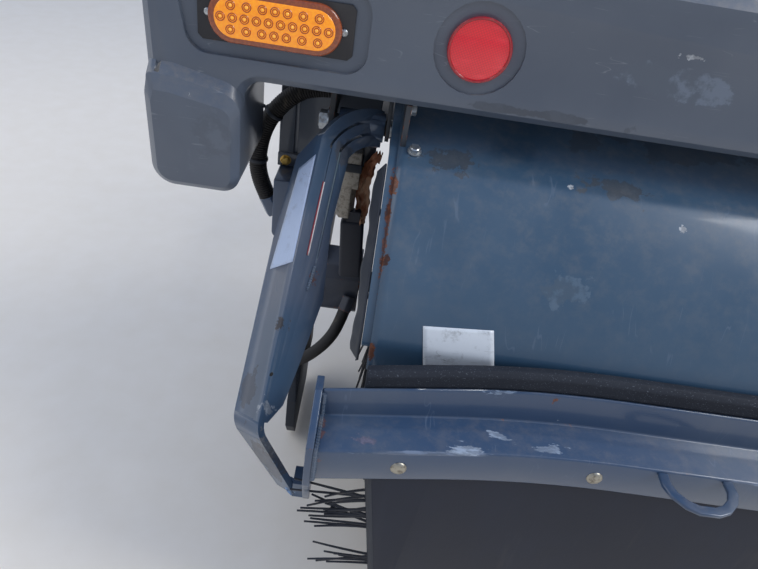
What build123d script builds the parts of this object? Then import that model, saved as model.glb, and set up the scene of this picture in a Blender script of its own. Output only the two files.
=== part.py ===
from build123d import *
import os
from math import atan2, cos, hypot, pi, radians, sin, sqrt, tan

# Rear sweeping broom assembly of a street sweeper, with its moulded rear bumper.
# Millimetres. X to the right, Y forward, Z up. The origin is the centre of the
# front plate's face, which bolts to the chassis, so all of the part has Y below 0.
# Pairs are modelled on the left, where X is negative, and mirrored to the right.

# Chassis frame
PLATE_W, PLATE_H, PLATE_T = 940.0, 170.0, 14.0
BOLT_OUT_X, BOLT_IN_X, BOLT_Z = 840.0, 300.0, 110.0
BOLT_R = 9.0
RAIL_X, RAIL_W, RAIL_H, RAIL_WALL = 400.0, 80.0, 120.0, 6.0
CROSS_HALF, CROSS_D, CROSS_H = 930.0, 80.0, 110.0
CROSS_REAR_Y = -720.0
CROSS_LOW_Z = -CROSS_H / 2

# Bumper, a moulded tub open towards the front, with a pad that drops down at each end
BUMPER_HALF, BUMPER_HALF_LOW = 1085.0, 1075.0
BUMPER_Y, BUMPER_DEEP = -900.0, 150.0
BUMPER_TOP, BUMPER_LOW = 72.0, -118.0
DROP_IN_X, DROP_LOW, DROP_PROUD = 952.0, -277.0, 25.0
DROP_TOP_OUT, DROP_TOP_IN = -98.0, -126.0
DROP_CORNER, PAD_CORNER, DROP_INNER_R = 32.0, 26.0, 25.0
SHELL_WALL, EDGE_BEVEL = 6.0, 11.0
INNER_BEVEL, INNER_CORNER = 7.0, 15.0
LOWER_LIP = 45.0
BRACKET_X, BRACKET_W, BRACKET_H, BRACKET_WALL = 530.0, 60.0, 80.0, 8.0

# Lamps and reflectors
LAMP_X, LAMP_Z = 912.0, -37.0
RING_W, RING_H, LENS_T = 168.0, 64.0, 10.0
LAMP_PLATE_W, LAMP_PLATE_H, LAMP_PLATE_T = 198.0, 68.0, 3.0
POCKET_OUT_TOP, POCKET_OUT_LOW, POCKET_IN = 1042.0, 1022.0, 793.0
POCKET_TOP, POCKET_LOW, POCKET_R, POCKET_DEEP = 16.0, -88.0, 30.0, 7.0
REFLECTOR_X, REFLECTOR_Z, REFLECTOR_R, REFLECTOR_T = 655.0, -31.0, 40.0, 6.0
DISH_R, DISH_DEEP, DISH_SIDES = 58.0, 4.0, 24

# Rear door: gooseneck arms, cross beam and flap, hinged under the bumper
DOOR_Y, DOOR_Z = -790.0, -197.0
PIN_R, HUB_R = 12.0, 22.0
PANEL_OUT_X, PANEL_IN_X, PANEL_Y, PANEL_LOW_Z, PANEL_T = -932.0, -765.0, -705.0, -325.0, 5.0
HUB_OUT_X, HUB_IN_X = -828.0, -757.5
BEAM_HALF = 790.0
BEAM_Y, BEAM_TOP, BEAM_STEP, BEAM_LOW = -1083.0, -422.0, -478.0, -536.0
BEAM_LEDGE, BEAM_WALL = 64.0, 6.0
END_T, END_TIP_Y, END_TIP_Z = 10.0, -1152.0, -630.0
HANDLE_X, HANDLE_W, HANDLE_OUT, HANDLE_BAR, HANDLE_T = 266.0, 106.0, 60.0, 14.0, 6.0
FLAP_TOP_HALF, FLAP_LOW_HALF, FLAP_LOW, FLAP_T = 712.0, 652.0, -960.0, 8.0
SEAL_HALF = 735.0

# The beam's left end is bent rearwards by an old knock, from the kink outwards
KINK_X, KINK_DEG = -485.0, 8.5

# Gooseneck arm, in its own plane: s runs down the leg from the elbow, u inboard, w rearwards
ELBOW = (-868.0, -1125.0, -503.0)
DOWN_LEG = (-0.071, -0.621, -0.781)
REARWARDS = (0.667, -0.611, 0.425)
RIDGE_U, INNER_U, ARM_T = -5.5, 50.0, 14.0
NECK_S, NECK_U, NECK_SUM = -350.5, 112.7, 123.5
NECK_END_DEG = 6.0
SLITS = ((12.0, 16.0), (30.0, 34.0))
SLIT_END_S = -234.0
COVER = ((-285.0, 45.0), (-176.0, 60.0), (-69.0, 41.0), (-18.0, 30.0), (8.0, 10.0))
SIDE_DEEP, SIDE_DEEP_TOP, SIDE_TOP_S, FLANGE_T = 64.0, 50.0, -376.0, 9.0
STIFFENER_U, STIFFENER_DEEP = 33.0, 44.0
LEG_DEG, LEG_LONG, LEG_T, LEG_TIP_DEEP = 45.0, 108.0, 10.0, 40.0
LEG_BEND_S, LEG_BEND_R = 6.0, 42.0

# Hood over the broom
HOOD_HALF, HOOD_R, HOOD_WALL = 735.0, 480.0, 4.0
CREST_Y, CREST_Z = -918.0, -193.0
HOOD_REAR_Y, HOOD_REAR_Z, HOOD_LOW_Z = -1058.0, -400.0, -450.0
ROOF_Y, ROOF_Z, ROOF_FRONT_Y, ROOF_LIP = -600.0, -84.0, -440.0, 40.0
EDGE_OUT_X, EDGE_IN_X, EDGE_DROP, EDGE_T, EDGE_LOW_Z = 747.0, 723.0, 4.0, 5.0, -410.0

# Broom and its carrier
BROOM_Y, BROOM_Z = -641.0, -598.0
BROOM_R, CORE_R, BROOM_HALF, SPLAY_HALF = 400.0, 128.0, 722.0, 742.0
BROOM_ROWS, ROW_T, TUFTS = 10, 10.0, 9
SHAFT_R = 22.0
CARRIER_Y, CARRIER_Z, CARRIER_HALF, TUBE_R = -100.0, -430.0, 838.0, 45.0
SWING_T = 12.0
SWING_OUT = CARRIER_HALF + SWING_T
LIFT_EYE_Y, LIFT_EYE_Z = -236.0, -378.0
LIFT_TOP_Y, LIFT_TOP_Z = -236.0, -30.0
ROD_R, BARREL_R, LIFT_PIN_R = 14.0, 30.0, 10.0

# Drag shoe outboard of each swing arm, hung from it by a strap
SHOE_X, SHOE_T = -878.0, 20.0
SHOE = ((-690, -745), (-600, -745), (-525, -850), (-525, -930), (-560, -985), (-735, -985), (-770, -930),
        (-770, -850))

# Hoses: radius, then the route's points
LOOM = (15.0, ((-843, -728, -170), (-882, -728, -170), (-924, -728, -202), (-953, -728, -246),
               (-964, -728, -300), (-961, -728, -345), (-945, -728, -378)))
MOTOR_HOSE = (12.0, ((-783, -716, -624), (-792, -736, -656), (-813, -750, -690), (-842, -756, -722),
                     (-866, -746, -750), (-871, -728, -770)))
HOSE_SIDES = 6
BEND_SHARE = 0.45

SIDES = (("left", -1), ("right", 1))


# Helpers
def yz_plate(points, x_low, x_high):
    """A flat plate: the outline in Y and Z, from x_low to x_high."""
    face = make_face(Polyline(*[(x_low, y, z) for y, z in points], close=True))
    return extrude(face, amount=x_high - x_low, dir=(1, 0, 0))


def xz_plate(points, y_low, y_high, corners=(), cut=fillet):
    """A flat plate: the outline in X and Z, from y_low to y_high, with some corners rounded or cut."""
    face = make_face(Polyline(*[(x, y_low, z) for x, z in points], close=True))
    for index, size in corners:
        x, z = points[index]
        corner = face.vertices().sort_by_distance((x, y_low, z))[0]
        face = cut(corner, size)
    return extrude(face, amount=y_high - y_low, dir=(0, 1, 0))


def block(x_low, x_high, y_low, y_high, z_low, z_high):
    """A box between the given limits."""
    centre = ((x_low + x_high) / 2, (y_low + y_high) / 2, (z_low + z_high) / 2)
    return Pos(*centre) * Box(x_high - x_low, y_high - y_low, z_high - z_low)


def rod(start, end, radius):
    """A round bar from start to end."""
    start, end = Vector(*start), Vector(*end)
    plane = Plane(origin=start, z_dir=end - start)
    return extrude(plane * Circle(radius), amount=(end - start).length)


def x_rod(x_low, x_high, y, z, radius):
    """A round bar along X."""
    return rod((x_low, y, z), (x_high, y, z), radius)


def mirrored(solid, side):
    """The solid as modelled for the left side, or its mirror image on the right."""
    return solid if side < 0 else mirror(solid, about=Plane.YZ)


def rake(x):
    """How far the bent beam stands rearwards at a place along X."""
    return tan(radians(KINK_DEG)) * max(0.0, KINK_X - x)


def hose_end(route, grow, long, at_start=False):
    """The many-sided fitting that a hose's end meets, in line with the hose."""
    radius, points = route
    end, before = [Vector(*p) for p in (points[:2] if at_start else points[:-3:-1])]
    plane = Plane(origin=end, z_dir=end - before)
    return extrude(plane * RegularPolygon(radius + grow, HOSE_SIDES), amount=long)


def hose(route):
    """A hose of many flat sides: straight runs joined by arcs as large as the runs allow."""
    radius, points = route
    points = [Vector(*p) for p in points]
    radii = []
    for before, here, after in zip(points, points[1:], points[2:]):
        turn = radians((here - before).get_angle(after - here))
        shorter = min((here - before).length, (after - here).length)
        radii.append(BEND_SHARE * shorter / tan(turn / 2))
    print("bend radii", [round(r) for r in radii])
    path = FilletPolyline(*points, radius=radii)
    start = Plane(origin=path @ 0, z_dir=path % 0)
    return sweep(start * RegularPolygon(radius, HOSE_SIDES), path=path)


def save(name, solid):
    """Write one piece to its own file."""
    export_step(solid, f"parts/{name}.step")


# Frame
def chassis_plate():
    plate = block(-PLATE_W / 2, PLATE_W / 2, -PLATE_T, 0, -PLATE_H / 2, PLATE_H / 2)
    for spacing in (BOLT_OUT_X, BOLT_IN_X):
        for x in (-spacing / 2, spacing / 2):
            for z in (-BOLT_Z / 2, BOLT_Z / 2):
                plate -= rod((x, -PLATE_T, z), (x, 0, z), BOLT_R)
    return plate


def box_tube(x_low, x_high, y_low, y_high, height, ends):
    """A rectangular tube about Z = 0, open at its ends along X or along Y."""
    wall = RAIL_WALL
    outer = block(x_low, x_high, y_low, y_high, -height / 2, height / 2)
    in_x = 0 if ends == "X" else wall
    in_y = 0 if ends == "Y" else wall
    return outer - block(x_low + in_x, x_high - in_x, y_low + in_y, y_high - in_y,
                         -height / 2 + wall, height / 2 - wall)


def frame_rail():
    return box_tube(-RAIL_X - RAIL_W / 2, -RAIL_X + RAIL_W / 2, CROSS_REAR_Y + CROSS_D, -PLATE_T, RAIL_H, "Y")


def rear_cross_member():
    return box_tube(-CROSS_HALF, CROSS_HALF, CROSS_REAR_Y, CROSS_REAR_Y + CROSS_D, CROSS_H, "X")


def lift_cross_tube():
    """The tube between the rails that carries the lift cylinder's upper pin."""
    half, wall, height = 30.0, 5.0, 60.0
    ear_gap, ear_t, ear_half, ear_low = 20.0, 12.0, 24.0, LIFT_TOP_Z - 22
    reach = RAIL_X - RAIL_W / 2
    tube = block(-reach, reach, LIFT_TOP_Y - half, LIFT_TOP_Y + half, 0, height)
    tube -= block(-reach, reach, LIFT_TOP_Y - half + wall, LIFT_TOP_Y + half - wall, wall, height - wall)
    ear = [(LIFT_TOP_Y - ear_half, 0), (LIFT_TOP_Y + ear_half, 0), (LIFT_TOP_Y + ear_half / 2, ear_low),
           (LIFT_TOP_Y - ear_half / 2, ear_low)]
    for side in (-1, 1):
        low, high = sorted((side * ear_gap, side * (ear_gap + ear_t)))
        tube += yz_plate(ear, low, high)
    return tube + x_rod(-ear_gap - 1, ear_gap + 1, LIFT_TOP_Y, LIFT_TOP_Z, LIFT_PIN_R)


# Bumper
def side_x(z):
    """How far out the bumper's slanting side stands at a height."""
    return BUMPER_HALF - (BUMPER_HALF - BUMPER_HALF_LOW) * (BUMPER_TOP - z) / (BUMPER_TOP - DROP_LOW)


def soften(solid, bevel, above=DROP_LOW - 1):
    """Bevel the rear face's edges above a height, except where the two halves meet."""
    edges = [e for e in solid.edges().group_by(Axis.Y)[0] if e.center().X < -1 and e.center().Z > above]
    return chamfer(edges, bevel)


def bumper_body(inset):
    """The left half of the tub and its drop pad as a solid, inset by a wall thickness."""
    face_y, front_y = BUMPER_Y + inset, BUMPER_Y + BUMPER_DEEP
    top, low, drop, inner = BUMPER_TOP - inset, BUMPER_LOW + inset, DROP_LOW + inset, DROP_IN_X + inset
    bevel, cut = (INNER_BEVEL, chamfer) if inset else (EDGE_BEVEL, fillet)
    corner, pad_corner = (INNER_CORNER, INNER_CORNER) if inset else (DROP_CORNER, PAD_CORNER)
    behind_pad = BUMPER_LOW - 45
    body = xz_plate([(0, top), (inset - side_x(top), top), (inset - side_x(behind_pad), behind_pad),
                     (-inner, behind_pad), (-inner, low), (0, low)],
                    face_y, front_y, ((1, corner), (4, INNER_CORNER if inset else DROP_INNER_R)), cut)
    pad_out, pad_in = DROP_TOP_OUT - inset, DROP_TOP_IN - inset
    pad = xz_plate([(inset - side_x(pad_out), pad_out), (inset - side_x(drop), drop), (-inner, drop),
                    (-inner, pad_in)],
                   face_y - DROP_PROUD, front_y,
                   ((0, corner), (1, corner), (2, pad_corner), (3, corner)), cut)
    return soften(body, bevel, behind_pad + 1) + soften(pad, bevel)


def lamp_pocket(grow):
    """The flared recess that frames the lamp, or its plainer back inside the shell."""
    points = [(-POCKET_OUT_TOP - grow, POCKET_TOP + grow), (-POCKET_OUT_LOW - grow, POCKET_LOW - grow),
              (-POCKET_IN + grow, POCKET_LOW - grow), (-POCKET_IN + grow, POCKET_TOP + grow)]
    corner, cut = (INNER_CORNER, chamfer) if grow else (POCKET_R, fillet)
    return xz_plate(points, BUMPER_Y, BUMPER_Y + POCKET_DEEP + grow, [(i, corner) for i in range(4)], cut)


def bumper_shell():
    outer = bumper_body(0) - lamp_pocket(0)
    dish = extrude(RegularPolygon(DISH_R, DISH_SIDES), amount=DISH_DEEP)
    outer -= on_face(-REFLECTOR_X, REFLECTOR_Z, DISH_DEEP) * dish
    inner = bumper_body(SHELL_WALL) - lamp_pocket(SHELL_WALL)
    open_below = block(-DROP_IN_X + SHELL_WALL, 0, BUMPER_Y + LOWER_LIP, BUMPER_Y + BUMPER_DEEP,
                       BUMPER_LOW, BUMPER_LOW + 2 * SHELL_WALL)
    half = outer - inner - open_below
    return half + mirror(half, about=Plane.YZ)


def bumper_bracket():
    """An open channel from the cross member to the inside of the bumper's face."""
    y_low, y_high = BUMPER_Y + SHELL_WALL, CROSS_REAR_Y
    half, wall = BRACKET_W / 2, BRACKET_WALL
    arm = block(-BRACKET_X - half, -BRACKET_X + half, y_low, y_high, -BRACKET_H / 2, BRACKET_H / 2)
    return arm - block(-BRACKET_X - half + wall, -BRACKET_X + half - wall, y_low, y_high,
                       -BRACKET_H / 2, BRACKET_H / 2 - wall)


# Lamps
def on_face(x, z, deep):
    """A place on the bumper's face that looks rearwards, so far below the face."""
    return Pos(x, BUMPER_Y + deep, z) * Rot(90, 0, 0)


def lamp_plate():
    sheet = Rectangle(LAMP_PLATE_W, LAMP_PLATE_H)
    sheet = chamfer(sheet.vertices(), LAMP_PLATE_T * 2)
    return on_face(-LAMP_X, LAMP_Z, POCKET_DEEP) * extrude(sheet, amount=LAMP_PLATE_T)


def signal_lamp():
    place = on_face(-LAMP_X, LAMP_Z, POCKET_DEEP - LAMP_PLATE_T)
    ring = SlotOverall(RING_W, RING_H)
    return place * extrude(ring, amount=LENS_T)


def reflector():
    return on_face(-REFLECTOR_X, REFLECTOR_Z, DISH_DEEP) * extrude(Circle(REFLECTOR_R), amount=REFLECTOR_T)


# Door pivot
def door_bracket():
    """Two hanging plates with the pin between them that the arm's hub turns on."""
    out_x, in_x, end, top_y, panel_y = -843.0, -749.0, 18.0, -762.0, -705.0
    outline = [(top_y, CROSS_LOW_Z - 12), (CROSS_REAR_Y, CROSS_LOW_Z), (panel_y, CROSS_LOW_Z),
               (panel_y, CROSS_LOW_Z - 140), (DOOR_Y + end, DOOR_Z - 8), (DOOR_Y + 8, DOOR_Z - end),
               (DOOR_Y - 8, DOOR_Z - end), (DOOR_Y - end, DOOR_Z - 8), (DOOR_Y - end, DOOR_Z + 10)]
    plates = yz_plate(outline, in_x - 6, in_x) + yz_plate(outline, out_x, out_x + 8)
    return plates + x_rod(out_x + 7, in_x - 5, DOOR_Y, DOOR_Z, PIN_R)


def side_panel():
    """The flat panel that hangs from the cross member behind the arm, stiffened by a bar."""
    groove_x, groove_half, bar_t, bar_h = -903.0, 3.0, 7.0, 24.0
    panel = block(PANEL_OUT_X, PANEL_IN_X, PANEL_Y, PANEL_Y + PANEL_T, PANEL_LOW_Z, CROSS_LOW_Z)
    panel -= block(groove_x - groove_half, groove_x + groove_half, PANEL_Y, PANEL_Y + PANEL_T / 2,
                   PANEL_LOW_Z, CROSS_LOW_Z)
    return panel + block(PANEL_OUT_X, PANEL_IN_X, PANEL_Y - bar_t, PANEL_Y, PANEL_LOW_Z, PANEL_LOW_Z + bar_h)


def junction_box():
    """The steel box on the panel's foot, with the gland that the hose bundle runs into."""
    corner, deep, low_z = 14.0, 63.0, PANEL_LOW_Z - 115
    box = block(PANEL_OUT_X + 4, PANEL_OUT_X + 54, PANEL_Y - deep, PANEL_Y, low_z, PANEL_LOW_Z)
    box = fillet(box.edges().filter_by(Axis.Y).sort_by(Axis.Z)[:2], corner)
    return box + hose_end(LOOM, 2, 36)


def valve_block():
    """The small valve with its coil, between the arm and the hood."""
    x, y, half, top_z, low_z = -806.0, -732.0, 20.0, -262.0, -330.0
    coil_r, coil_long = 17.0, 62.0
    body = block(x - half, x + half, y - half, y + half, low_z, top_z)
    return body + Pos(x, y, low_z - coil_long) * extrude(RegularPolygon(coil_r, HOSE_SIDES), amount=coil_long)


# Hood
def hood_arc(offset):
    """Centre, radius and angles of the hood's curved rear, moved outwards by offset."""
    chord = Vector(CREST_Y - HOOD_REAR_Y, CREST_Z - HOOD_REAR_Z)
    middle = Vector((CREST_Y + HOOD_REAR_Y) / 2, (CREST_Z + HOOD_REAR_Z) / 2)
    away = Vector(chord.Y, -chord.X).normalized()
    centre = middle + away * sqrt(HOOD_R ** 2 - (chord.length / 2) ** 2)
    low = atan2(HOOD_REAR_Z - centre.Y, HOOD_REAR_Y - centre.X) % (2 * pi)
    high = atan2(CREST_Z - centre.Y, CREST_Y - centre.X) % (2 * pi)
    radius = HOOD_R + offset
    return [(centre.X + radius * cos(a), centre.Y + radius * sin(a)) for a in (low, (low + high) / 2, high)]


def hood_band(x_low, x_high, outside, inside, low_z, lip):
    """A strip that follows the hood's profile between two offsets, extruded along X."""
    edges = []
    for offset in (outside, inside):
        low, middle, high = [(x_low, y, z) for y, z in hood_arc(offset)]
        foot = (x_low, low[1], low_z)
        roof = (x_low, ROOF_Y, ROOF_Z + offset)
        front = (x_low, ROOF_FRONT_Y + offset, ROOF_Z + offset)
        end = (x_low, ROOF_FRONT_Y + offset, ROOF_Z - lip)
        edges.append((foot, low, middle, high, roof, front, end))
    lines = [Line(edges[0][0], edges[1][0]), Line(edges[0][-1], edges[1][-1])]
    for foot, low, middle, high, roof, front, end in edges:
        lines += [Line(foot, low), ThreePointArc(low, middle, high), Line(high, roof)]
        lines += [Line(roof, front), Line(front, end)]
    return extrude(make_face(lines), amount=x_high - x_low, dir=(1, 0, 0))


def hood_panel():
    return hood_band(-HOOD_HALF, HOOD_HALF, 0, -HOOD_WALL, HOOD_LOW_Z, ROOF_LIP)


def hood_end():
    """The edge strip that stands out past the panel's side, just below its surface."""
    return hood_band(-EDGE_OUT_X, -EDGE_IN_X, -EDGE_DROP, -EDGE_DROP - EDGE_T, EDGE_LOW_Z, ROOF_LIP)


def roof_z(y):
    """Height of the hood's sloping roof."""
    return CREST_Z + (ROOF_Z - CREST_Z) * (y - CREST_Y) / (ROOF_Y - CREST_Y)


def hood_hanger():
    """The gusset that hangs the hood's crest from the cross member."""
    out_x, in_x, rear_y, inner_y = -733.0, -725.0, -884.0, -828.0
    lip_y, under_lip = BUMPER_Y + LOWER_LIP + 5, BUMPER_LOW - 3
    outline = [(CROSS_REAR_Y, -10), (CROSS_REAR_Y, -50), (inner_y, roof_z(inner_y)), (rear_y, roof_z(rear_y)),
               (rear_y, under_lip), (lip_y, under_lip), (lip_y, under_lip + 30)]
    return yz_plate(outline, out_x, in_x)


# Gooseneck arm
def leg_frame(s, u, turn_deg=0.0):
    """A plane on the arm's outer side at a place in its own plane: x on down the leg, y forwards."""
    down, rear = Vector(*DOWN_LEG), Vector(*REARWARDS)
    inboard = rear.cross(down)
    turn = radians(turn_deg)
    return Plane(origin=Vector(*ELBOW) + down * s + inboard * u, x_dir=down * cos(turn) + inboard * sin(turn),
                 z_dir=inboard * cos(turn) - down * sin(turn))


def arm_solid(edges, deep, thick):
    """A flat piece of the arm from its outline in s and u, so far in front of the rear face."""
    plane = Plane(origin=ELBOW, x_dir=DOWN_LEG, z_dir=REARWARDS)
    return plane.offset(-deep - thick) * extrude(make_face(edges), amount=thick)


def neck_edge(u):
    """Bend, middle and end of the neck's curve, for the edge at distance u on the straight leg."""
    radius = NECK_SUM - u
    bend_s = NECK_S - sqrt(radius ** 2 - (NECK_U - u) ** 2)
    first = atan2(u - NECK_U, bend_s - NECK_S) % (2 * pi)
    last = pi + radians(NECK_END_DEG)
    curve = [(NECK_S + radius * cos(a), NECK_U + radius * sin(a)) for a in ((first + last) / 2, last)]
    return [(bend_s, u)] + curve


def neck_band(u_out, u_in, low_end):
    """Outline of a band from its lower end's points, up the leg and round the neck."""
    bend_out, mid_out, end_out = neck_edge(u_out)
    bend_in, mid_in, end_in = neck_edge(u_in)
    return [Polyline(bend_in, *low_end, bend_out), ThreePointArc(bend_out, mid_out, end_out),
            Line(end_out, end_in), ThreePointArc(end_in, mid_in, bend_in)]


def lower_leg():
    """The bent plate that goes on from the side flange, round the elbow and down to the toe."""
    centre_u, turn = RIDGE_U + LEG_BEND_R, radians(LEG_DEG)
    arcs = []
    for radius in (LEG_BEND_R, LEG_BEND_R - LEG_T):
        arcs.append([(LEG_BEND_S + radius * sin(a), centre_u - radius * cos(a)) for a in (0, turn / 2, turn)])
    outer, inner = arcs
    bend = arm_solid([ThreePointArc(*outer), Line(outer[2], inner[2]), ThreePointArc(*inner),
                      Line(inner[0], outer[0])], 0, SIDE_DEEP)
    lap = 2.0
    shape = Polyline((-lap, 0), (LEG_LONG, 0), (LEG_LONG, LEG_TIP_DEEP), (-lap, SIDE_DEEP), close=True)
    leg = leg_frame(*outer[2], LEG_DEG) * extrude(make_face(shape), amount=LEG_T)
    return bend + leg


def toe_lug():
    """The lug between the lower leg's tip and the beam's end plate."""
    reach, wide, low, high = 16.0, 32.0, 6.0, 24.0
    plate_x = -BEAM_HALF - END_T
    return block(plate_x - reach, plate_x, END_TIP_Y, END_TIP_Y + wide, END_TIP_Z - low, END_TIP_Z + high)


def swing_arm():
    """A slotted gooseneck plate with a side flange, a stiffener, a bent lower leg and a hub."""
    arm = arm_solid(neck_band(RIDGE_U, INNER_U, COVER + ((8.0, RIDGE_U),)), 0, ARM_T)
    for u_out, u_in in SLITS:
        arm -= arm_solid(neck_band(u_out, u_in, [(SLIT_END_S, u_in), (SLIT_END_S, u_out)]), 0, ARM_T)
    lap, low_s = ARM_T - 2, LEG_BEND_S + 2
    flange = Polyline((SIDE_TOP_S - 30, lap), (low_s, lap), (low_s, SIDE_DEEP), (SIDE_TOP_S + 126, SIDE_DEEP),
                      (SIDE_TOP_S, SIDE_DEEP_TOP), close=True)
    arm += leg_frame(0, RIDGE_U) * extrude(make_face(flange), amount=FLANGE_T)
    stiffener = Polyline((SIDE_TOP_S, lap), (-60, lap), (-90, STIFFENER_DEEP),
                         (SIDE_TOP_S + 30, STIFFENER_DEEP), close=True)
    arm += leg_frame(0, STIFFENER_U) * extrude(make_face(stiffener), amount=FLANGE_T)
    arm += lower_leg() + toe_lug()
    arm += x_rod(HUB_OUT_X, HUB_IN_X, DOOR_Y, DOOR_Z, HUB_R)
    arm -= block(HUB_IN_X, HUB_IN_X + 60, DOOR_Y - 60, DOOR_Y + 60, DOOR_Z - 60, DOOR_Z + 60)
    return arm - x_rod(HUB_OUT_X, HUB_IN_X, DOOR_Y, DOOR_Z, PIN_R + 0.05)


# Door beam
def along_beam(points, half):
    """A piece of constant profile along the beam: straight, then following its bent left end."""
    straight = yz_plate(points, KINK_X, half)
    face = make_face(Polyline(*[(KINK_X, y, z) for y, z in points], close=True))
    slope = Vector(-1, -tan(radians(KINK_DEG)), 0)
    return straight + extrude(face, amount=slope.length * (KINK_X + half), dir=slope.normalized())


def door_beam():
    rear, wall = BEAM_Y - BEAM_LEDGE, BEAM_WALL
    return along_beam([(BEAM_Y, BEAM_TOP), (BEAM_Y, BEAM_STEP), (rear, BEAM_STEP), (rear, BEAM_LOW),
                       (rear + wall, BEAM_LOW), (rear + wall, BEAM_STEP - wall),
                       (BEAM_Y + wall, BEAM_STEP - wall), (BEAM_Y + wall, BEAM_TOP)], BEAM_HALF)


def end_plate(shift):
    """The plate that closes the beam's end and reaches down to the arm's toe."""
    lap, front = 4.0, BEAM_Y + 24 - shift
    rear = BEAM_Y - BEAM_LEDGE - shift - lap
    outline = [(front, BEAM_TOP + lap), (BEAM_Y - shift - lap, BEAM_TOP + lap), (rear, BEAM_STEP + 10),
               (rear, BEAM_LOW - 10), (END_TIP_Y - 14, END_TIP_Z + 20), (END_TIP_Y, END_TIP_Z - 8),
               (END_TIP_Y + 34, END_TIP_Z - 8), (END_TIP_Y + 44, END_TIP_Z + 24), (front, BEAM_STEP - 40)]
    return yz_plate(outline, -BEAM_HALF - END_T, -BEAM_HALF)


def loop_outline(width, out, corner):
    """A flat outline that starts straight at Y = 0 and is cut off at its far corners, in two steps."""
    face = Pos(0, -out / 2) * Rectangle(width, out)
    face = chamfer(face.vertices().group_by(Axis.Y)[0], corner)
    low = [v for v in face.vertices() if v.Y < -1]
    return chamfer(low, corner / 3)


def handle():
    """The flat bar bent into a loop that stands out from the beam's lower face."""
    bar, corner = HANDLE_BAR, HANDLE_W * 0.28
    ring = loop_outline(HANDLE_W, HANDLE_OUT, corner)
    ring -= loop_outline(HANDLE_W - 2 * bar, HANDLE_OUT - bar, corner - bar * 0.6)
    return Pos(-HANDLE_X, BEAM_Y - BEAM_LEDGE, BEAM_STEP - HANDLE_T - 2) * extrude(ring, amount=HANDLE_T)


def rubber_flap():
    """The flap behind the beam's lower face, cut narrower towards its foot."""
    rear = BEAM_Y - BEAM_LEDGE + BEAM_WALL
    top = BEAM_STEP - BEAM_WALL
    flap = along_beam([(rear, FLAP_LOW), (rear + FLAP_T, FLAP_LOW), (rear + FLAP_T, top), (rear, top)],
                      FLAP_TOP_HALF)
    for side in (-1, 1):
        out, low = side * FLAP_TOP_HALF, side * FLAP_LOW_HALF
        flap -= xz_plate([(out, BEAM_LOW), (low, FLAP_LOW), (out, FLAP_LOW)],
                         rear - BEAM_LEDGE, rear + BEAM_LEDGE)
    return flap


def seal_strip():
    """The rubber strip on the beam's inner face, whose lip leans on the hood."""
    back, top = BEAM_Y + BEAM_WALL, BEAM_TOP
    lip = [(back + 9, top), (back + 13, top + 18), (back + 17, top + 29), (back + 2, top + 32),
           (back - 4, top + 24)]
    return along_beam([(back, top - 40), (back + 8, top - 40), *lip, (back, top)], SEAL_HALF)


# Broom carrier
def carrier_bracket():
    """The plate under the rail with the bore that the pivot tube turns in."""
    half, plate_t = TUBE_R + 17, 16.0
    points = [(-PLATE_T - 6, -RAIL_H / 2), (-200, -RAIL_H / 2), (CARRIER_Y - half, CARRIER_Z),
              (CARRIER_Y - half / 2, CARRIER_Z - half), (CARRIER_Y + half / 2, CARRIER_Z - half),
              (CARRIER_Y + half, CARRIER_Z)]
    plate = yz_plate(points, -RAIL_X - plate_t / 2, -RAIL_X + plate_t / 2)
    return plate - x_rod(-RAIL_X - plate_t, -RAIL_X + plate_t, CARRIER_Y, CARRIER_Z, TUBE_R + 0.05)


def pivot_tube():
    """The carrier's cross tube with the two lift lugs and the pin between them."""
    gap, lug_t = 18.0, 12.0
    tube = x_rod(-CARRIER_HALF, CARRIER_HALF, CARRIER_Y, CARRIER_Z, TUBE_R)
    for side in (-1, 1):
        low, high = sorted((side * gap, side * (gap + lug_t)))
        tube += yz_plate([(CARRIER_Y - 20, CARRIER_Z + 38), (LIFT_EYE_Y - 20, LIFT_EYE_Z + 18),
                          (LIFT_EYE_Y - 22, LIFT_EYE_Z - 18), (CARRIER_Y - 30, CARRIER_Z - 30)], low, high)
    return tube + x_rod(-gap - 1, gap + 1, LIFT_EYE_Y, LIFT_EYE_Z, LIFT_PIN_R)


def trailing_arm():
    """The plate from the pivot tube's end to the broom's shaft, with the drag shoe's strap."""
    dy, dz = BROOM_Y - CARRIER_Y, BROOM_Z - CARRIER_Z
    length = hypot(dy, dz)
    ny, nz = -dz / length, dy / length
    root, end, strap, strap_low_z = 58.0, 70.0, 30.0, -800.0
    points = [(CARRIER_Y + ny * root, CARRIER_Z + nz * root), (BROOM_Y + ny * end, BROOM_Z + nz * end),
              (BROOM_Y - end, BROOM_Z), (BROOM_Y - ny * end, BROOM_Z - nz * end),
              (CARRIER_Y - ny * root, CARRIER_Z - nz * root), (CARRIER_Y + root, CARRIER_Z)]
    arm = yz_plate(points, -SWING_OUT, -CARRIER_HALF)
    arm += block(SHOE_X + SHOE_T, -SWING_OUT + 2, BROOM_Y - strap, BROOM_Y + strap,
                 strap_low_z, BROOM_Z - SHAFT_R - SWING_T)
    return arm - x_rod(-SWING_OUT, -CARRIER_HALF, BROOM_Y, BROOM_Z, SHAFT_R + 0.05)


def drag_shoe():
    """The rubber shoe that closes the broom's end near the ground, with a hose socket on top."""
    return yz_plate(SHOE, SHOE_X, SHOE_X + SHOE_T) + hose_end(MOTOR_HOSE, 3, 36)


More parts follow.
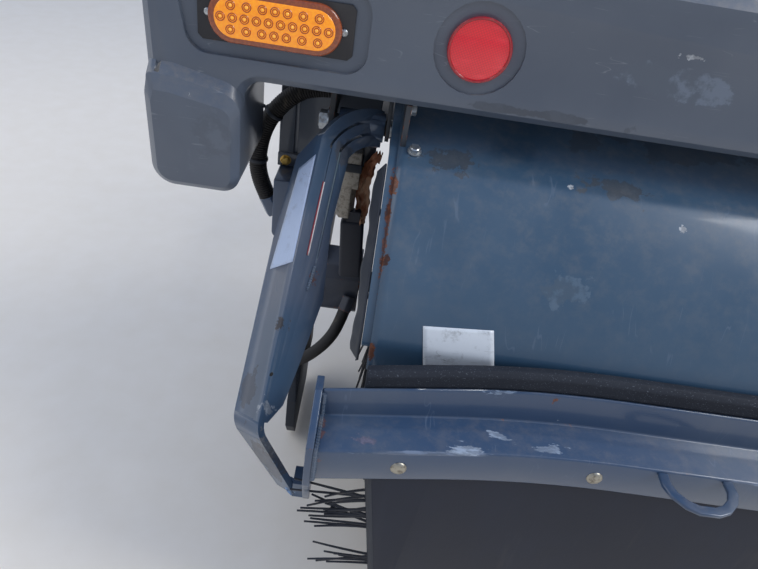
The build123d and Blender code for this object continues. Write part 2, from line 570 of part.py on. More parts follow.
def broom_motor():
    """The motor's square housing round the shaft, with the port that its hose leaves."""
    side, corner, length = 112.0, 20.0, 78.0
    place = Plane(origin=(-CARRIER_HALF, BROOM_Y, BROOM_Z), z_dir=(1, 0, 0))
    outline = Rectangle(side, side)
    body = place * extrude(chamfer(outline.vertices(), corner), amount=length)
    body += hose_end(MOTOR_HOSE, 3, 30, at_start=True)
    return body - x_rod(-CARRIER_HALF, -CARRIER_HALF + length, BROOM_Y, BROOM_Z, SHAFT_R + 0.3)


def broom_bearing():
    """The square flanged bearing at the broom's right end."""
    side, length = 96.0, 36.0
    body = block(CARRIER_HALF - length, CARRIER_HALF, BROOM_Y - side / 2, BROOM_Y + side / 2,
                 BROOM_Z - side / 2, BROOM_Z + side / 2)
    return body - x_rod(CARRIER_HALF - length, CARRIER_HALF, BROOM_Y, BROOM_Z, SHAFT_R + 0.3)


# Broom
def broom_core():
    core = x_rod(-BROOM_HALF, BROOM_HALF, BROOM_Y, BROOM_Z, CORE_R)
    reach = SWING_OUT - 1
    for x_low, x_high in ((-reach, -BROOM_HALF), (BROOM_HALF, reach)):
        core += x_rod(x_low, x_high, BROOM_Y, BROOM_Z, SHAFT_R)
    return core


def bristle_rows():
    """Rows of stiff tufts whose outer ends splay past the core."""
    foot, notch_w, notch_deep = CORE_R + 0.5, 14.0, 150.0
    outline = [(-BROOM_HALF, foot), (-SPLAY_HALF, BROOM_R)]
    for i in range(1, TUFTS):
        x = SPLAY_HALF * (2 * i / TUFTS - 1)
        outline += [(x - notch_w, BROOM_R), (x, BROOM_R - notch_deep), (x + notch_w, BROOM_R)]
    outline += [(SPLAY_HALF, BROOM_R), (BROOM_HALF, foot)]
    row = xz_plate(outline, -ROW_T / 2, ROW_T / 2)
    rows = [Pos(0, BROOM_Y, BROOM_Z) * Rot(360 * i / BROOM_ROWS, 0, 0) * row for i in range(BROOM_ROWS)]
    return Compound(children=rows)


# Lift cylinder
def lift_barrel():
    foot, eye, half = LIFT_EYE_Z + 110, 20.0, 16.0
    barrel = rod((0, LIFT_TOP_Y, LIFT_TOP_Z - 30), (0, LIFT_TOP_Y, foot), BARREL_R)
    barrel -= rod((0, LIFT_TOP_Y, LIFT_TOP_Z - 50), (0, LIFT_TOP_Y, foot), ROD_R + 0.05)
    barrel += block(-half, half, LIFT_TOP_Y - eye, LIFT_TOP_Y + eye, LIFT_TOP_Z - 32, LIFT_TOP_Z + eye)
    return barrel - x_rod(-half, half, LIFT_TOP_Y, LIFT_TOP_Z, LIFT_PIN_R + 0.05)


def lift_rod():
    head, eye, half = LIFT_EYE_Z + 210, 20.0, 15.0
    bar = rod((0, LIFT_EYE_Y, LIFT_EYE_Z + eye - 2), (0, LIFT_EYE_Y, head), ROD_R)
    bar += block(-half, half, LIFT_EYE_Y - eye, LIFT_EYE_Y + eye, LIFT_EYE_Z - eye, LIFT_EYE_Z + eye)
    return bar - x_rod(-half, half, LIFT_EYE_Y, LIFT_EYE_Z, LIFT_PIN_R + 2)


def build():
    os.makedirs("parts", exist_ok=True)
    single = {
        "chassis_plate": chassis_plate(), "rear_cross_member": rear_cross_member(),
        "lift_cross_tube": lift_cross_tube(), "bumper_shell": bumper_shell(), "hood_panel": hood_panel(),
        "door_beam": door_beam(), "rubber_flap": rubber_flap(), "seal_strip": seal_strip(),
        "pivot_tube": pivot_tube(), "broom_core": broom_core(), "bristle_rows": bristle_rows(),
        "lift_barrel": lift_barrel(), "lift_rod": lift_rod(), "broom_motor": broom_motor(),
        "broom_bearing": broom_bearing(), "junction_box": junction_box(), "valve_block": valve_block(),
        "hose_loom": hose(LOOM), "motor_hose": hose(MOTOR_HOSE),
        "end_plate_left": end_plate(rake(-BEAM_HALF)),
        "end_plate_right": mirror(end_plate(0), about=Plane.YZ),
    }
    pairs = {
        "frame_rail": frame_rail(), "bumper_bracket": bumper_bracket(), "lamp_plate": lamp_plate(),
        "signal_lamp": signal_lamp(), "reflector": reflector(), "door_bracket": door_bracket(),
        "side_panel": side_panel(), "hood_end": hood_end(), "hood_hanger": hood_hanger(),
        "swing_arm": swing_arm(), "handle": handle(), "carrier_bracket": carrier_bracket(),
        "trailing_arm": trailing_arm(), "drag_shoe": drag_shoe(),
    }
    for name, solid in single.items():
        save(name, solid)
    for name, solid in pairs.items():
        for word, side in SIDES:
            save(f"{name}_{word}", mirrored(solid, side))


build()
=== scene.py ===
import logging
import random
from collections.abc import Callable, Iterable, Sequence
from dataclasses import dataclass
from enum import Enum
from math import atan2, cos, hypot, pi, radians, sin, sqrt, tan

import bpy
import bmesh
from mathutils import Matrix, Vector

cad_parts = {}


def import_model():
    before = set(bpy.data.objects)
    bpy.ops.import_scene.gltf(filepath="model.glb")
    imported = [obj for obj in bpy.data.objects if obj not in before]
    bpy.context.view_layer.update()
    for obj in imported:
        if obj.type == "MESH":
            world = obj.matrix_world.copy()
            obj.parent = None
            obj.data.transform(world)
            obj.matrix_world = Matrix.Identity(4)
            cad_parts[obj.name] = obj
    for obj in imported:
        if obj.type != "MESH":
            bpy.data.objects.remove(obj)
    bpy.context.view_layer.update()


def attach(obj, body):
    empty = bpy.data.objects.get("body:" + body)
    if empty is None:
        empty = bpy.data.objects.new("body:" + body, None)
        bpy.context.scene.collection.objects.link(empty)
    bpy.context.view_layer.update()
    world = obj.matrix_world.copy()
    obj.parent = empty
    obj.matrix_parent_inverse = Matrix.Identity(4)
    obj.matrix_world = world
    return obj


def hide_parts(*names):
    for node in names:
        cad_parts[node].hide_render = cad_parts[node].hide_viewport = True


LOG = logging.getLogger("broom_assembly")
MM = 0.001

Point = tuple[float, float, float]
Flat = tuple[float, float]
Colour = tuple[float, float, float, float]
Rule = Callable[[Vector], Vector]


class Body(Enum):
    """The moving bodies that the pieces ride on."""

    FRAME = "root"
    DOOR = "rear_door"
    CARRIER = "broom_carrier"
    BROOM = "broom"
    BARREL = "cylinder_body"
    ROD = "cylinder_rod"


class Slot(Enum):
    """The record's material slots."""

    STEEL = "steel_paint"
    FRAME = "frame_paint"
    CORE = "core_paint"
    BUMPER = "bumper_moulding"
    BACKING = "lamp_backing"
    AMBER = "amber_lens"
    RED = "red_lens"
    RUBBER = "black_rubber"
    CAST = "cast_housing"
    BRISTLE = "bristle_plastic"
    CHROME = "polished_rod"


def tone(red: float, green: float, blue: float) -> Colour:
    """Turn a colour as a screen shows it into the shader's own linear colour.

    Args:
        red: Red from 0 to 255.
        green: Green from 0 to 255.
        blue: Blue from 0 to 255.

    Returns:
        The linear colour with full alpha.
    """
    linear = [c / 255 / 12.92 if c <= 10 else ((c / 255 + 0.055) / 1.055) ** 2.4 for c in (red, green, blue)]
    return (linear[0], linear[1], linear[2], 1.0)


# Shader tools
class Field:
    """A shader socket that Python's operators act on."""

    def __init__(self, paint: "Paint", socket: bpy.types.NodeSocket) -> None:
        """Wrap one output socket of a material's tree."""
        self.paint = paint
        self.socket = socket

    def math(self, operation: str, *values: "Field | float") -> "Field":
        """Add one Math node that starts from these values.

        Args:
            operation: The node's operation.
            values: Its inputs in order.

        Returns:
            The node's result.
        """
        return self.paint.node("ShaderNodeMath", {"operation": operation}, dict(enumerate(values)))

    def __add__(self, other: "Field | float") -> "Field":
        """Add."""
        return self.math("ADD", self, other)

    def __radd__(self, other: float) -> "Field":
        """Add a number in front."""
        return self.math("ADD", other, self)

    def __sub__(self, other: "Field | float") -> "Field":
        """Subtract."""
        return self.math("SUBTRACT", self, other)

    def __rsub__(self, other: float) -> "Field":
        """Subtract from a number."""
        return self.math("SUBTRACT", other, self)

    def __mul__(self, other: "Field | float") -> "Field":
        """Multiply."""
        return self.math("MULTIPLY", self, other)

    def __rmul__(self, other: float) -> "Field":
        """Multiply a number."""
        return self.math("MULTIPLY", other, self)

    def __abs__(self) -> "Field":
        """Drop the sign."""
        return self.math("ABSOLUTE", self)

    def ramp(self, low: float, high: float, to_low: float = 0.0, to_high: float = 1.0) -> "Field":
        """Map a range of values smoothly to another and hold it at its ends.

        Args:
            low: The value that gives to_low.
            high: The value that gives to_high, which may be below low.
            to_low: The result at low.
            to_high: The result at high.

        Returns:
            The mapped value.
        """
        inputs = {0: self, 1: low, 2: high, 3: to_low, 4: to_high}
        return self.paint.node("ShaderNodeMapRange", {"interpolation_type": "SMOOTHSTEP"}, inputs)


class Paint:
    """One material in the making."""

    def __init__(self, name: str, constants: dict[str, float | tuple] | None = None) -> None:
        """Start a material.

        Args:
            name: The material's name.
            constants: What is the same all over, by the shader's own socket.
        """
        self.material = bpy.data.materials.new(name)
        self.material.use_nodes = True
        self.tree = self.material.node_tree
        self.shader = self.tree.nodes["Principled BSDF"]
        for key, value in (constants or {}).items():
            self.shader.inputs[key].default_value = value
        self.coordinates = self.node("ShaderNodeTexCoord", output="Object")

    def node(self, kind: str, settings: dict | None = None, inputs: dict | None = None,
             output: int | str = 0) -> Field:
        """Add one node.

        Args:
            kind: The node's type.
            settings: Its own settings, with stops for a colour ramp, which are set first.
            inputs: Values or fields by socket name or number.
            output: The output that is wanted.

        Returns:
            That output.
        """
        made = self.tree.nodes.new(kind)
        for key, value in (settings or {}).items():
            if key == "stops":
                elements = made.color_ramp.elements
                elements.remove(elements[-1])
                elements[0].position, elements[0].color = value[0]
                for position, colour in value[1:]:
                    elements.new(position).color = colour
            else:
                setattr(made, key, value)
        for key, value in (inputs or {}).items():
            if isinstance(value, Field):
                self.tree.links.new(value.socket, made.inputs[key])
            else:
                made.inputs[key].default_value = value
        return Field(self, made.outputs[output])

    def placed(self, stretch: Point = (1.0, 1.0, 1.0), turn: Point = (0.0, 0.0, 0.0)) -> Field:
        """The object's coordinates, turned and then stretched."""
        inputs = {"Vector": self.coordinates, "Scale": stretch, "Rotation": [radians(a) for a in turn]}
        return self.node("ShaderNodeMapping", {"vector_type": "POINT"}, inputs)

    def noise(self, scale: float, detail: float = 3.0, stretch: Point | None = None,
              turn: Point = (0.0, 0.0, 0.0), rough: float = 0.55) -> Field:
        """Cloudy noise of about so many grains a metre.

        Args:
            scale: Grains in a metre.
            detail: Octaves.
            stretch: Share of that scale along each axis.
            turn: Turn of the pattern in degrees.
            rough: Weight of the finer octaves.

        Returns:
            A value round 0.5.
        """
        source = self.placed(stretch, turn) if stretch else self.coordinates
        inputs = {"Vector": source, "Scale": scale, "Detail": detail, "Roughness": rough}
        return self.node("ShaderNodeTexNoise", {"noise_dimensions": "3D"}, inputs)

    def lines(self, scale: float, stretch: Point, thin: float, turn: Point = (0.0, 0.0, 0.0)) -> Field:
        """Thin broken scratches that run the way in which the stretch is small."""
        wander = abs(self.noise(scale, 2.0, stretch, turn) - 0.5).ramp(thin, thin * 0.3)
        return wander * self.noise(scale * 0.6, 2.0).ramp(0.56, 0.66)

    def mix(self, factor: Field | float, low: Field | tuple, high: Field | tuple) -> Field:
        """Blend two colours."""
        settings = {"data_type": "RGBA", "blend_type": "MIX"}
        return self.node("ShaderNodeMix", settings, {0: factor, 6: low, 7: high}, 2)

    def spot(self, place: Point, size: Point, turn: Point = (0.0, 0.0, 0.0)) -> Field:
        """A soft spot, 1 at its middle and 0 at its rim.

        Args:
            place: Its middle in millimetres.
            size: Its half sizes in millimetres.
            turn: Its turn in degrees.

        Returns:
            The spot's strength.
        """
        away = self.node("ShaderNodeVectorMath", {"operation": "SUBTRACT"},
                         {0: self.coordinates, 1: [c * MM for c in place]})
        if any(turn):
            away = self.node("ShaderNodeVectorRotate", {"rotation_type": "EULER_XYZ", "invert": True},
                             {"Vector": away, "Rotation": [radians(a) for a in turn]})
        share = self.node("ShaderNodeVectorMath", {"operation": "MULTIPLY"},
                          {0: away, 1: [1 / (s * MM) for s in size]})
        length = self.node("ShaderNodeVectorMath", {"operation": "LENGTH"}, {0: share}, "Value")
        return length.ramp(1.0, 0.0)

    def upward(self) -> Field:
        """How far a face looks up, from -1 to 1."""
        normal = self.node("ShaderNodeTexCoord", output="Normal")
        return self.node("ShaderNodeSeparateXYZ", None, {0: normal}, "Z")

    def edges(self) -> Field:
        """1 on the rounded edges of a softened piece and 0 elsewhere."""
        return self.node("ShaderNodeAttribute", {"attribute_name": "edge"}, output="Fac")

    def bump(self, height: Field, strength: float, distance: float, under: Field | None = None) -> Field:
        """Raise the surface by a height field.

        Args:
            height: The field.
            strength: How strong it shows.
            distance: Its full height in millimetres.
            under: A bump that lies under it.

        Returns:
            The new normal.
        """
        inputs = {"Height": height, "Strength": strength, "Distance": distance * MM}
        if under:
            inputs["Normal"] = under
        return self.node("ShaderNodeBump", None, inputs)

    def finish(self, **fields: Field) -> bpy.types.Material:
        """Link fields to the shader.

        Args:
            fields: The fields by the shader's socket, whose name has _ for a space.

        Returns:
            The finished material.
        """
        for key, value in fields.items():
            self.tree.links.new(value.socket, self.shader.inputs[key.replace("_", " ")])
        return self.material


# Finishes
RUST, DEEP_RUST = tone(128, 72, 42), tone(84, 47, 32)
DUST, CHALK, PRIMER = tone(150, 138, 120), tone(196, 200, 204), tone(132, 146, 166)
BROWN_DIRT = tone(62, 50, 42)
# FOLD_HIGHLIGHT_AND_WEAR is a painted highlight along the beam's fold, partly worn paint.
RUBBED, FOLD_HIGHLIGHT_AND_WEAR, DULLED = tone(160, 176, 196), tone(132, 146, 168), tone(120, 134, 152)


@dataclass(frozen=True)
class Mark:
    """A patch of rust, dirt or wear, or a painted highlight, sheen or reflection, at one place, in
    millimetres and degrees.
    """

    place: Point
    size: Point
    colour: Colour
    amount: float = 1.0
    rough: float = 0.65
    grain: float = 60.0
    ragged: float = 0.9
    turn: Point = (0.0, 0.0, 0.0)
    stretch: Point | None = None

    def lay(self, paint: Paint, colour: Field) -> tuple[Field, Field]:
        """Lay the mark over a colour.

        Args:
            paint: The material in the making.
            colour: The colour below.

        Returns:
            The new colour and the share of the surface that the mark covers.
        """
        grain = paint.noise(self.grain, 6.0, self.stretch, self.turn, 0.68)
        spot = paint.spot(self.place, self.size, self.turn)
        cover = (spot + (grain - 0.5) * (3.2 * self.ragged)).ramp(0.42, 0.56)
        inside = paint.spot(self.place, [1.25 * s for s in self.size], self.turn).ramp(0.0, 0.12)
        mask = cover * inside * self.amount
        deep = tuple(0.55 * c for c in self.colour[:3]) + (1.0,)
        return paint.mix(mask, colour, paint.mix(grain.ramp(0.5, 0.62), deep, self.colour)), mask


@dataclass(frozen=True)
class Enamel:
    """Glossy sprayed enamel on steel sheet, with dust, hairlines, worn edges and its own marks."""

    name: str = "blue_grey_enamel"
    colour: Colour = tone(64, 85, 107)
    faded: Colour = tone(80, 96, 114)
    gloss: float = 0.26
    dust: float = 0.35
    wear: float = 0.35
    peel: float = 0.10
    coat: float = 0.5
    marks: tuple[Mark, ...] = ()

    def make(self) -> bpy.types.Material:
        """Build the material.

        Returns:
            The material.
        """
        paint = Paint(self.name, {"Coat Weight": self.coat, "Coat Roughness": 0.1, "IOR": 1.5})
        cloud = paint.noise(5.0, 5.0)
        grime = paint.noise(38.0, 6.0, rough=0.7)
        colour = paint.mix(cloud.ramp(0.35, 0.7), self.colour, self.faded)
        settled = paint.upward().ramp(0.1, 0.9) * grime.ramp(0.4, 0.75) * self.dust
        colour = paint.mix(settled, colour, DUST)
        lines = paint.lines(34.0, (1.0, 0.1, 0.16), 0.008, (12.0, 20.0, 35.0))
        colour = paint.mix(lines * 0.14, colour, PRIMER)
        worn = paint.edges() * grime.ramp(0.7 - 0.16 * self.wear, 0.76 - 0.14 * self.wear) * 0.8
        colour = paint.mix(worn, colour, paint.mix(cloud.ramp(0.45, 0.55), RUST, PRIMER))
        rough = self.gloss + cloud * 0.12 + settled * 0.5 + worn * 0.4 + lines * 0.2
        height = paint.noise(700.0, 2.0) * 0.5 + paint.noise(9.0, 2.0) * 14.0 - worn * 1.5
        for mark in self.marks:
            colour, mask = mark.lay(paint, colour)
            rough = rough + mask * (mark.rough - self.gloss)
            height = height - mask * 1.2
        return paint.finish(Base_Color=colour, Roughness=rough, Normal=paint.bump(height, 0.5, self.peel))


@dataclass(frozen=True)
class DustyPaint:
    """Flat dark paint on the frame, under road dust and specks of rust."""

    name: str = "dusty_frame_paint"
    colour: Colour = tone(52, 58, 66)
    dirt: Colour = tone(104, 96, 84)
    rough: float = 0.5
    cover: float = 0.55
    rust: float = 0.5

    def make(self) -> bpy.types.Material:
        """Build the material.

        Returns:
            The material.
        """
        paint = Paint(self.name)
        cloud = paint.noise(7.0, 6.0, rough=0.65)
        speck = paint.noise(90.0, 5.0, rough=0.7)
        dusty = (cloud + paint.upward() * 0.16).ramp(0.42, 0.75) * self.cover
        colour = paint.mix(dusty, self.colour, self.dirt)
        rusty = (speck + paint.edges() * 0.12).ramp(0.74 - 0.16 * self.rust, 0.8 - 0.14 * self.rust)
        colour = paint.mix(rusty, colour, RUST)
        rough = self.rough + dusty * 0.35 + rusty * 0.25
        height = speck + rusty * 0.6
        return paint.finish(Base_Color=colour, Roughness=rough, Normal=paint.bump(height, 0.35, 0.4))


@dataclass(frozen=True)
class Moulding:
    """Satin moulded plastic with a fine grain, scuffs and its own marks."""

    name: str = "charcoal_moulding"
    colour: Colour = tone(78, 87, 101)
    gloss: float = 0.3
    marks: tuple[Mark, ...] = ()

    def make(self) -> bpy.types.Material:
        """Build the material.

        Returns:
            The material.
        """
        paint = Paint(self.name, {"Coat Weight": 0.35, "Coat Roughness": 0.16})
        cloud = paint.noise(3.5, 5.0)
        grime = paint.noise(60.0, 6.0, rough=0.7)
        colour = paint.mix(cloud.ramp(0.3, 0.7), self.colour, tone(90, 98, 110))
        settled = paint.upward().ramp(0.2, 0.95) * grime.ramp(0.35, 0.7) * 0.3
        colour = paint.mix(settled, colour, DUST)
        lines = paint.lines(46.0, (0.12, 1.0, 1.0), 0.006, (0.0, 25.0, 0.0))
        colour = paint.mix(lines * 0.14, colour, CHALK)
        rough = self.gloss + cloud * 0.1 + settled * 0.5 + lines * 0.2
        for mark in self.marks:
            colour, mask = mark.lay(paint, colour)
            rough = rough + mask * (mark.rough - self.gloss)
        height = paint.noise(900.0, 2.0) + paint.noise(6.0, 2.0) * 10.0
        return paint.finish(Base_Color=colour, Roughness=rough, Normal=paint.bump(height, 0.4, 0.08))


@dataclass(frozen=True)
class Rubber:
    """Worn rubber: dark, with scuffs, dust and, where asked for, light fibres in it."""

    name: str = "worn_rubber"
    colour: Colour = tone(30, 36, 46)
    scuffed: Colour = tone(66, 72, 82)
    rough: float = 0.48
    dust: float = 0.4
    fibres: float = 0.0
    grain: float = 240.0

    def make(self) -> bpy.types.Material:
        """Build the material.

        Returns:
            The material.
        """
        paint = Paint(self.name, {"IOR": 1.45})
        cloud = paint.noise(4.0, 6.0, (1.0, 1.0, 0.5), rough=0.65)
        fine = paint.noise(self.grain, 4.0)
        colour = paint.mix(cloud.ramp(0.4, 0.75) * 0.6, self.colour, self.scuffed)
        streak = paint.noise(30.0, 5.0, (1.0, 1.0, 0.12)).ramp(0.6, 0.8) * self.dust
        colour = paint.mix(streak, colour, DUST)
        colour = paint.mix(fine.ramp(0.62, 0.68) * self.fibres, colour, tone(150, 158, 168))
        rough = self.rough + cloud * 0.15 + streak * 0.3
        height = fine + paint.noise(12.0, 2.0) * 4.0
        return paint.finish(Base_Color=colour, Roughness=rough, Normal=paint.bump(height, 0.5, 0.3))


@dataclass(frozen=True)
class AmberPlastic:
    """Clear amber moulding, bright in its body and darker towards its rim."""

    name: str = "amber_plastic"
    colour: Colour = tone(255, 158, 8)
    deep: Colour = tone(226, 108, 4)
    glow: float = 0.32

    def make(self) -> bpy.types.Material:
        """Build the material.

        Returns:
            The material.
        """
        paint = Paint(self.name, {"Coat Weight": 0.8, "Coat Roughness": 0.05, "Roughness": 0.22,
                                  "Emission Strength": self.glow})
        fine = paint.noise(300.0, 3.0)
        colour = paint.mix(fine.ramp(0.4, 0.62) * 0.35, self.colour, self.deep)
        colour = paint.mix(paint.noise(40.0, 4.0).ramp(0.62, 0.8) * 0.25, colour, DUST)
        return paint.finish(Base_Color=colour, Emission_Color=colour, Normal=paint.bump(fine, 0.3, 0.2))


@dataclass(frozen=True)
class PrismRed:
    """Red reflector glass, moulded behind into rows of small prisms, with a painted glow and a painted sheen.
    """

    name: str = "prismatic_red"
    pitch: float = 330.0

    def make(self) -> bpy.types.Material:
        """Build the material.

        Returns:
            The material.
        """
        # The emission is a painted glow, for the reflector is no lamp; the lighter red streaks below are a
        # painted sheen.
        paint = Paint(self.name, {"Coat Weight": 1.0, "Coat Roughness": 0.04, "Roughness": 0.25,
                                  "Emission Strength": 0.3})
        cells = paint.node("ShaderNodeTexVoronoi", {"feature": "F1", "distance": "CHEBYCHEV"},
                           {"Vector": paint.placed(turn=(0.0, 30.0, 0.0)), "Scale": self.pitch,
                            "Randomness": 0.0}, "Distance")
        sheen = paint.noise(22.0, 3.0, (1.0, 1.0, 4.0))
        colour = paint.mix(cells.ramp(0.1, 0.55), tone(240, 16, 40), tone(172, 2, 22))
        colour = paint.mix(sheen.ramp(0.5, 0.75) * 0.25, colour, tone(248, 60, 76))
        return paint.finish(Base_Color=colour, Emission_Color=colour, Normal=paint.bump(cells, 0.35, 0.5))


@dataclass(frozen=True)
class BareMetal:
    """Plated or bare metal with stains."""

    name: str = "zinc_plate"
    colour: Colour = tone(196, 200, 202)
    stain: Colour = tone(120, 108, 92)
    rough: float = 0.32
    stained: float = 0.6
    metal: float = 1.0

    def make(self) -> bpy.types.Material:
        """Build the material.

        Returns:
            The material.
        """
        paint = Paint(self.name)
        speck = paint.noise(160.0, 5.0, rough=0.65)
        dull = speck.ramp(0.45, 0.7) * self.stained
        colour = paint.mix(dull, self.colour, self.stain)
        rough = self.rough + dull * 0.35
        return paint.finish(Base_Color=colour, Roughness=rough, Metallic=self.metal - dull * 0.5,
                            Normal=paint.bump(speck, 0.3, 0.1))


@dataclass(frozen=True)
class Sticker:
    """A blank printed film, faded, creased and dirty at its edges."""

    name: str = "blank_sticker"
    colour: Colour = tone(214, 220, 226)
    dirt: Colour = tone(120, 122, 124)

    def make(self) -> bpy.types.Material:
        """Build the material.

        Returns:
            The material.
        """
        paint = Paint(self.name, {"Coat Weight": 0.4, "Coat Roughness": 0.2})
        cloud = paint.noise(50.0, 5.0, rough=0.7)
        colour = paint.mix(cloud.ramp(0.52, 0.75) * 0.5, self.colour, self.dirt)
        creases = paint.lines(60.0, (0.3, 1.0, 1.0), 0.012, (0.0, 40.0, 0.0))
        colour = paint.mix(creases * 0.6, colour, self.dirt)
        return paint.finish(Base_Color=colour, Roughness=cloud * 0.3 + 0.28,
                            Normal=paint.bump(paint.noise(45.0, 3.0), 0.5, 0.4))


@dataclass(frozen=True)
class RustySheet:
    """Old torn sheet with layers of rust and tan dirt."""

    name: str = "rusty_sheet"
    pale: Colour = tone(168, 132, 104)
    dark: Colour = tone(92, 62, 46)

    def make(self) -> bpy.types.Material:
        """Build the material.

        Returns:
            The material.
        """
        paint = Paint(self.name)
        layers = paint.noise(36.0, 7.0, (1.0, 1.0, 0.45), rough=0.7)
        colour = paint.node("ShaderNodeValToRGB", {"stops": (
            (0.3, self.dark), (0.45, RUST), (0.58, self.pale), (0.72, tone(70, 66, 64)))}, {0: layers})
        return paint.finish(Base_Color=colour, Roughness=layers * 0.3 + 0.6,
                            Normal=paint.bump(layers, 0.6, 1.2))


FINISHES: dict[str, bpy.types.Material] = {}


def finish_of(finish: object) -> bpy.types.Material:
    """The material of a finish, which is made once.

    Args:
        finish: Any of the finishes above.

    Returns:
        Its material.
    """
    if finish.name not in FINISHES:
        FINISHES[finish.name] = finish.make()
    return FINISHES[finish.name]


# Mesh tools
class Shape:
    """A mesh in the making, in metres, with the operators that the pieces need."""

    def __init__(self) -> None:
        """Start with nothing."""
        self.mesh = bmesh.new()
        self.worn = self.mesh.faces.layers.float.new("edge")

    @classmethod
    def of_node(cls, name: str) -> "Shape":
        """A merged copy of a solid of the frame, flat faces in one piece.

        Args:
            name: The solid's node.

        Returns:
            The shape.
        """
        shape = cls()
        shape.mesh.from_mesh(bpy.data.objects[name].data)
        shape.worn = shape.mesh.faces.layers.float.get("edge") or shape.mesh.faces.layers.float.new("edge")
        bmesh.ops.remove_doubles(shape.mesh, verts=shape.mesh.verts[:], dist=2e-5)
        bmesh.ops.dissolve_limit(shape.mesh, angle_limit=radians(0.5), verts=shape.mesh.verts[:],
                                 edges=shape.mesh.edges[:])
        return shape

    def soften(self, width: float, over: float = 25.0, segments: int = 2) -> "Shape":
        """Round the edges that are sharper than an angle and mark them as worn.

        Args:
            width: The bevel's width in millimetres.
            over: The angle in degrees.
            segments: Faces across each round.

        Returns:
            The shape.
        """
        sharp = [e for e in self.mesh.edges if len(e.link_faces) == 2 and
                 e.calc_face_angle(0.0) > radians(over)]
        made = bmesh.ops.bevel(self.mesh, geom=sharp, offset=width * MM, offset_type="OFFSET",
                               segments=segments, profile=0.5, affect="EDGES", clamp_overlap=True,
                               material=-1)
        for face in made["faces"]:
            face[self.worn] = 1.0
        return self

    def slice_up(self, axis: int, step: float) -> "Shape":
        """Cut the shape at even steps along an axis, so that it can bend.

        Args:
            axis: 0, 1 or 2 for X, Y or Z.
            step: The step in millimetres.

        Returns:
            The shape.
        """
        normal = Vector([1.0 if i == axis else 0.0 for i in range(3)])
        values = [v.co[axis] for v in self.mesh.verts]
        place = min(values) + step * MM
        while place < max(values) - step * MM / 2:
            whole = self.mesh.verts[:] + self.mesh.edges[:] + self.mesh.faces[:]
            bmesh.ops.bisect_plane(self.mesh, geom=whole, dist=1e-6, plane_co=normal * place,
                                   plane_no=normal)
            place += step * MM
        return self

    def warp(self, rule: Rule) -> "Shape":
        """Move each vertex as a rule says.

        Args:
            rule: Gives a vertex's new place for its old one, in metres.

        Returns:
            The shape.
        """
        for vertex in self.mesh.verts:
            vertex.co = rule(vertex.co)
        return self

    def grid(self, across: int, along: int, rule: Callable[[float, float], Vector],
             close: bool = False) -> "Shape":
        """Lay a grid over a surface.

        Args:
            across: Faces across.
            along: Faces along.
            rule: The place for shares from 0 to 1 across and along.
            close: Whether the two long sides meet, as on a tube.

        Returns:
            The shape.
        """
        made = bmesh.ops.create_grid(self.mesh, x_segments=across, y_segments=along, size=1.0)["verts"]
        for vertex in made:
            vertex.co = rule((vertex.co.x + 1) / 2, (vertex.co.y + 1) / 2)
        if close:
            bmesh.ops.remove_doubles(self.mesh, verts=made, dist=1e-6)
            rims = [e for e in self.mesh.edges if e.is_boundary]
            bmesh.ops.holes_fill(self.mesh, edges=rims, sides=0)
        return self

    def tube(self, points: Sequence[Vector], radius: Callable[[float], float], sides: int = 14) -> "Shape":
        """Lay a closed tube along a line of points.

        Args:
            points: The line.
            radius: The radius in metres at a share of the line.
            sides: Faces round the tube.

        Returns:
            The shape.
        """
        last = len(points) - 1
        ways = [(points[min(i + 1, last)] - points[max(i - 1, 0)]).normalized() for i in range(last + 1)]
        side = ways[0].orthogonal().normalized()
        frames = []
        for way in ways:
            side = (side - way * side.dot(way)).normalized()
            frames.append((side, way.cross(side)))

        def place(round_share: float, share: float) -> Vector:
            """One place on the tube.

            Args:
                round_share: How far round it, from 0 to 1.
                share: How far along it, from 0 to 1.

            Returns:
                The place in metres.
            """
            index = min(last, round(share * last))
            first, second = frames[index]
            angle = 2 * pi * round_share
            return points[index] + (first * cos(angle) + second * sin(angle)) * radius(share)

        return self.grid(sides, last, place, close=True)

    def block(self, low: Point, high: Point, turn: Matrix | None = None) -> "Shape":
        """Add a box.

        Args:
            low: Its low corner in millimetres.
            high: Its high corner in millimetres.
            turn: Its turn about its middle.

        Returns:
            The shape.
        """
        size = [(b - a) * MM for a, b in zip(low, high)]
        middle = Vector([(a + b) / 2 * MM for a, b in zip(low, high)])
        matrix = Matrix.Translation(middle) @ (turn or Matrix.Identity(4)) @ Matrix.Diagonal((*size, 1.0))
        bmesh.ops.create_cube(self.mesh, size=1.0, matrix=matrix)
        return self

    def rod(self, start: Point, end: Point, radius: float, end_radius: float | None = None,
            sides: int = 24) -> "Shape":
        """Add a round or many-sided bar, in millimetres.

        Args:
            start: The middle of its first end.
            end: The middle of its other end.
            radius: Its radius.
            end_radius: Its radius at the other end, where that differs.
            sides: Faces round it.

        Returns:
            The shape.
        """
        first, last = Vector(start) * MM, Vector(end) * MM
        way = last - first
        matrix = Matrix.Translation((first + last) / 2) @ way.to_track_quat("Z", "X").to_matrix().to_4x4()
        top = radius if end_radius is None else end_radius
        bmesh.ops.create_cone(self.mesh, cap_ends=True, cap_tris=False, segments=sides, radius1=radius * MM,
                              radius2=top * MM, depth=way.length, matrix=matrix)
        return self

    def dome(self, place: Point, way: Point, radius: float, height: float, sides: int = 16) -> "Shape":
        """Add a low dome that stands on a face, in millimetres.

        Args:
            place: The middle of its foot.
            way: The way in which it looks.
            radius: Its foot's radius.
            height: How far it stands out.
            sides: Faces round it.

        Returns:
            The shape.
        """
        facing = Vector(way).to_track_quat("Z", "X").to_matrix().to_4x4()
        matrix = Matrix.Translation(Vector(place) * MM) @ facing @ Matrix.Diagonal((1, 1, height / radius, 1))
        bmesh.ops.create_uvsphere(self.mesh, u_segments=sides, v_segments=10, radius=radius * MM,
                                  matrix=matrix)
        return self

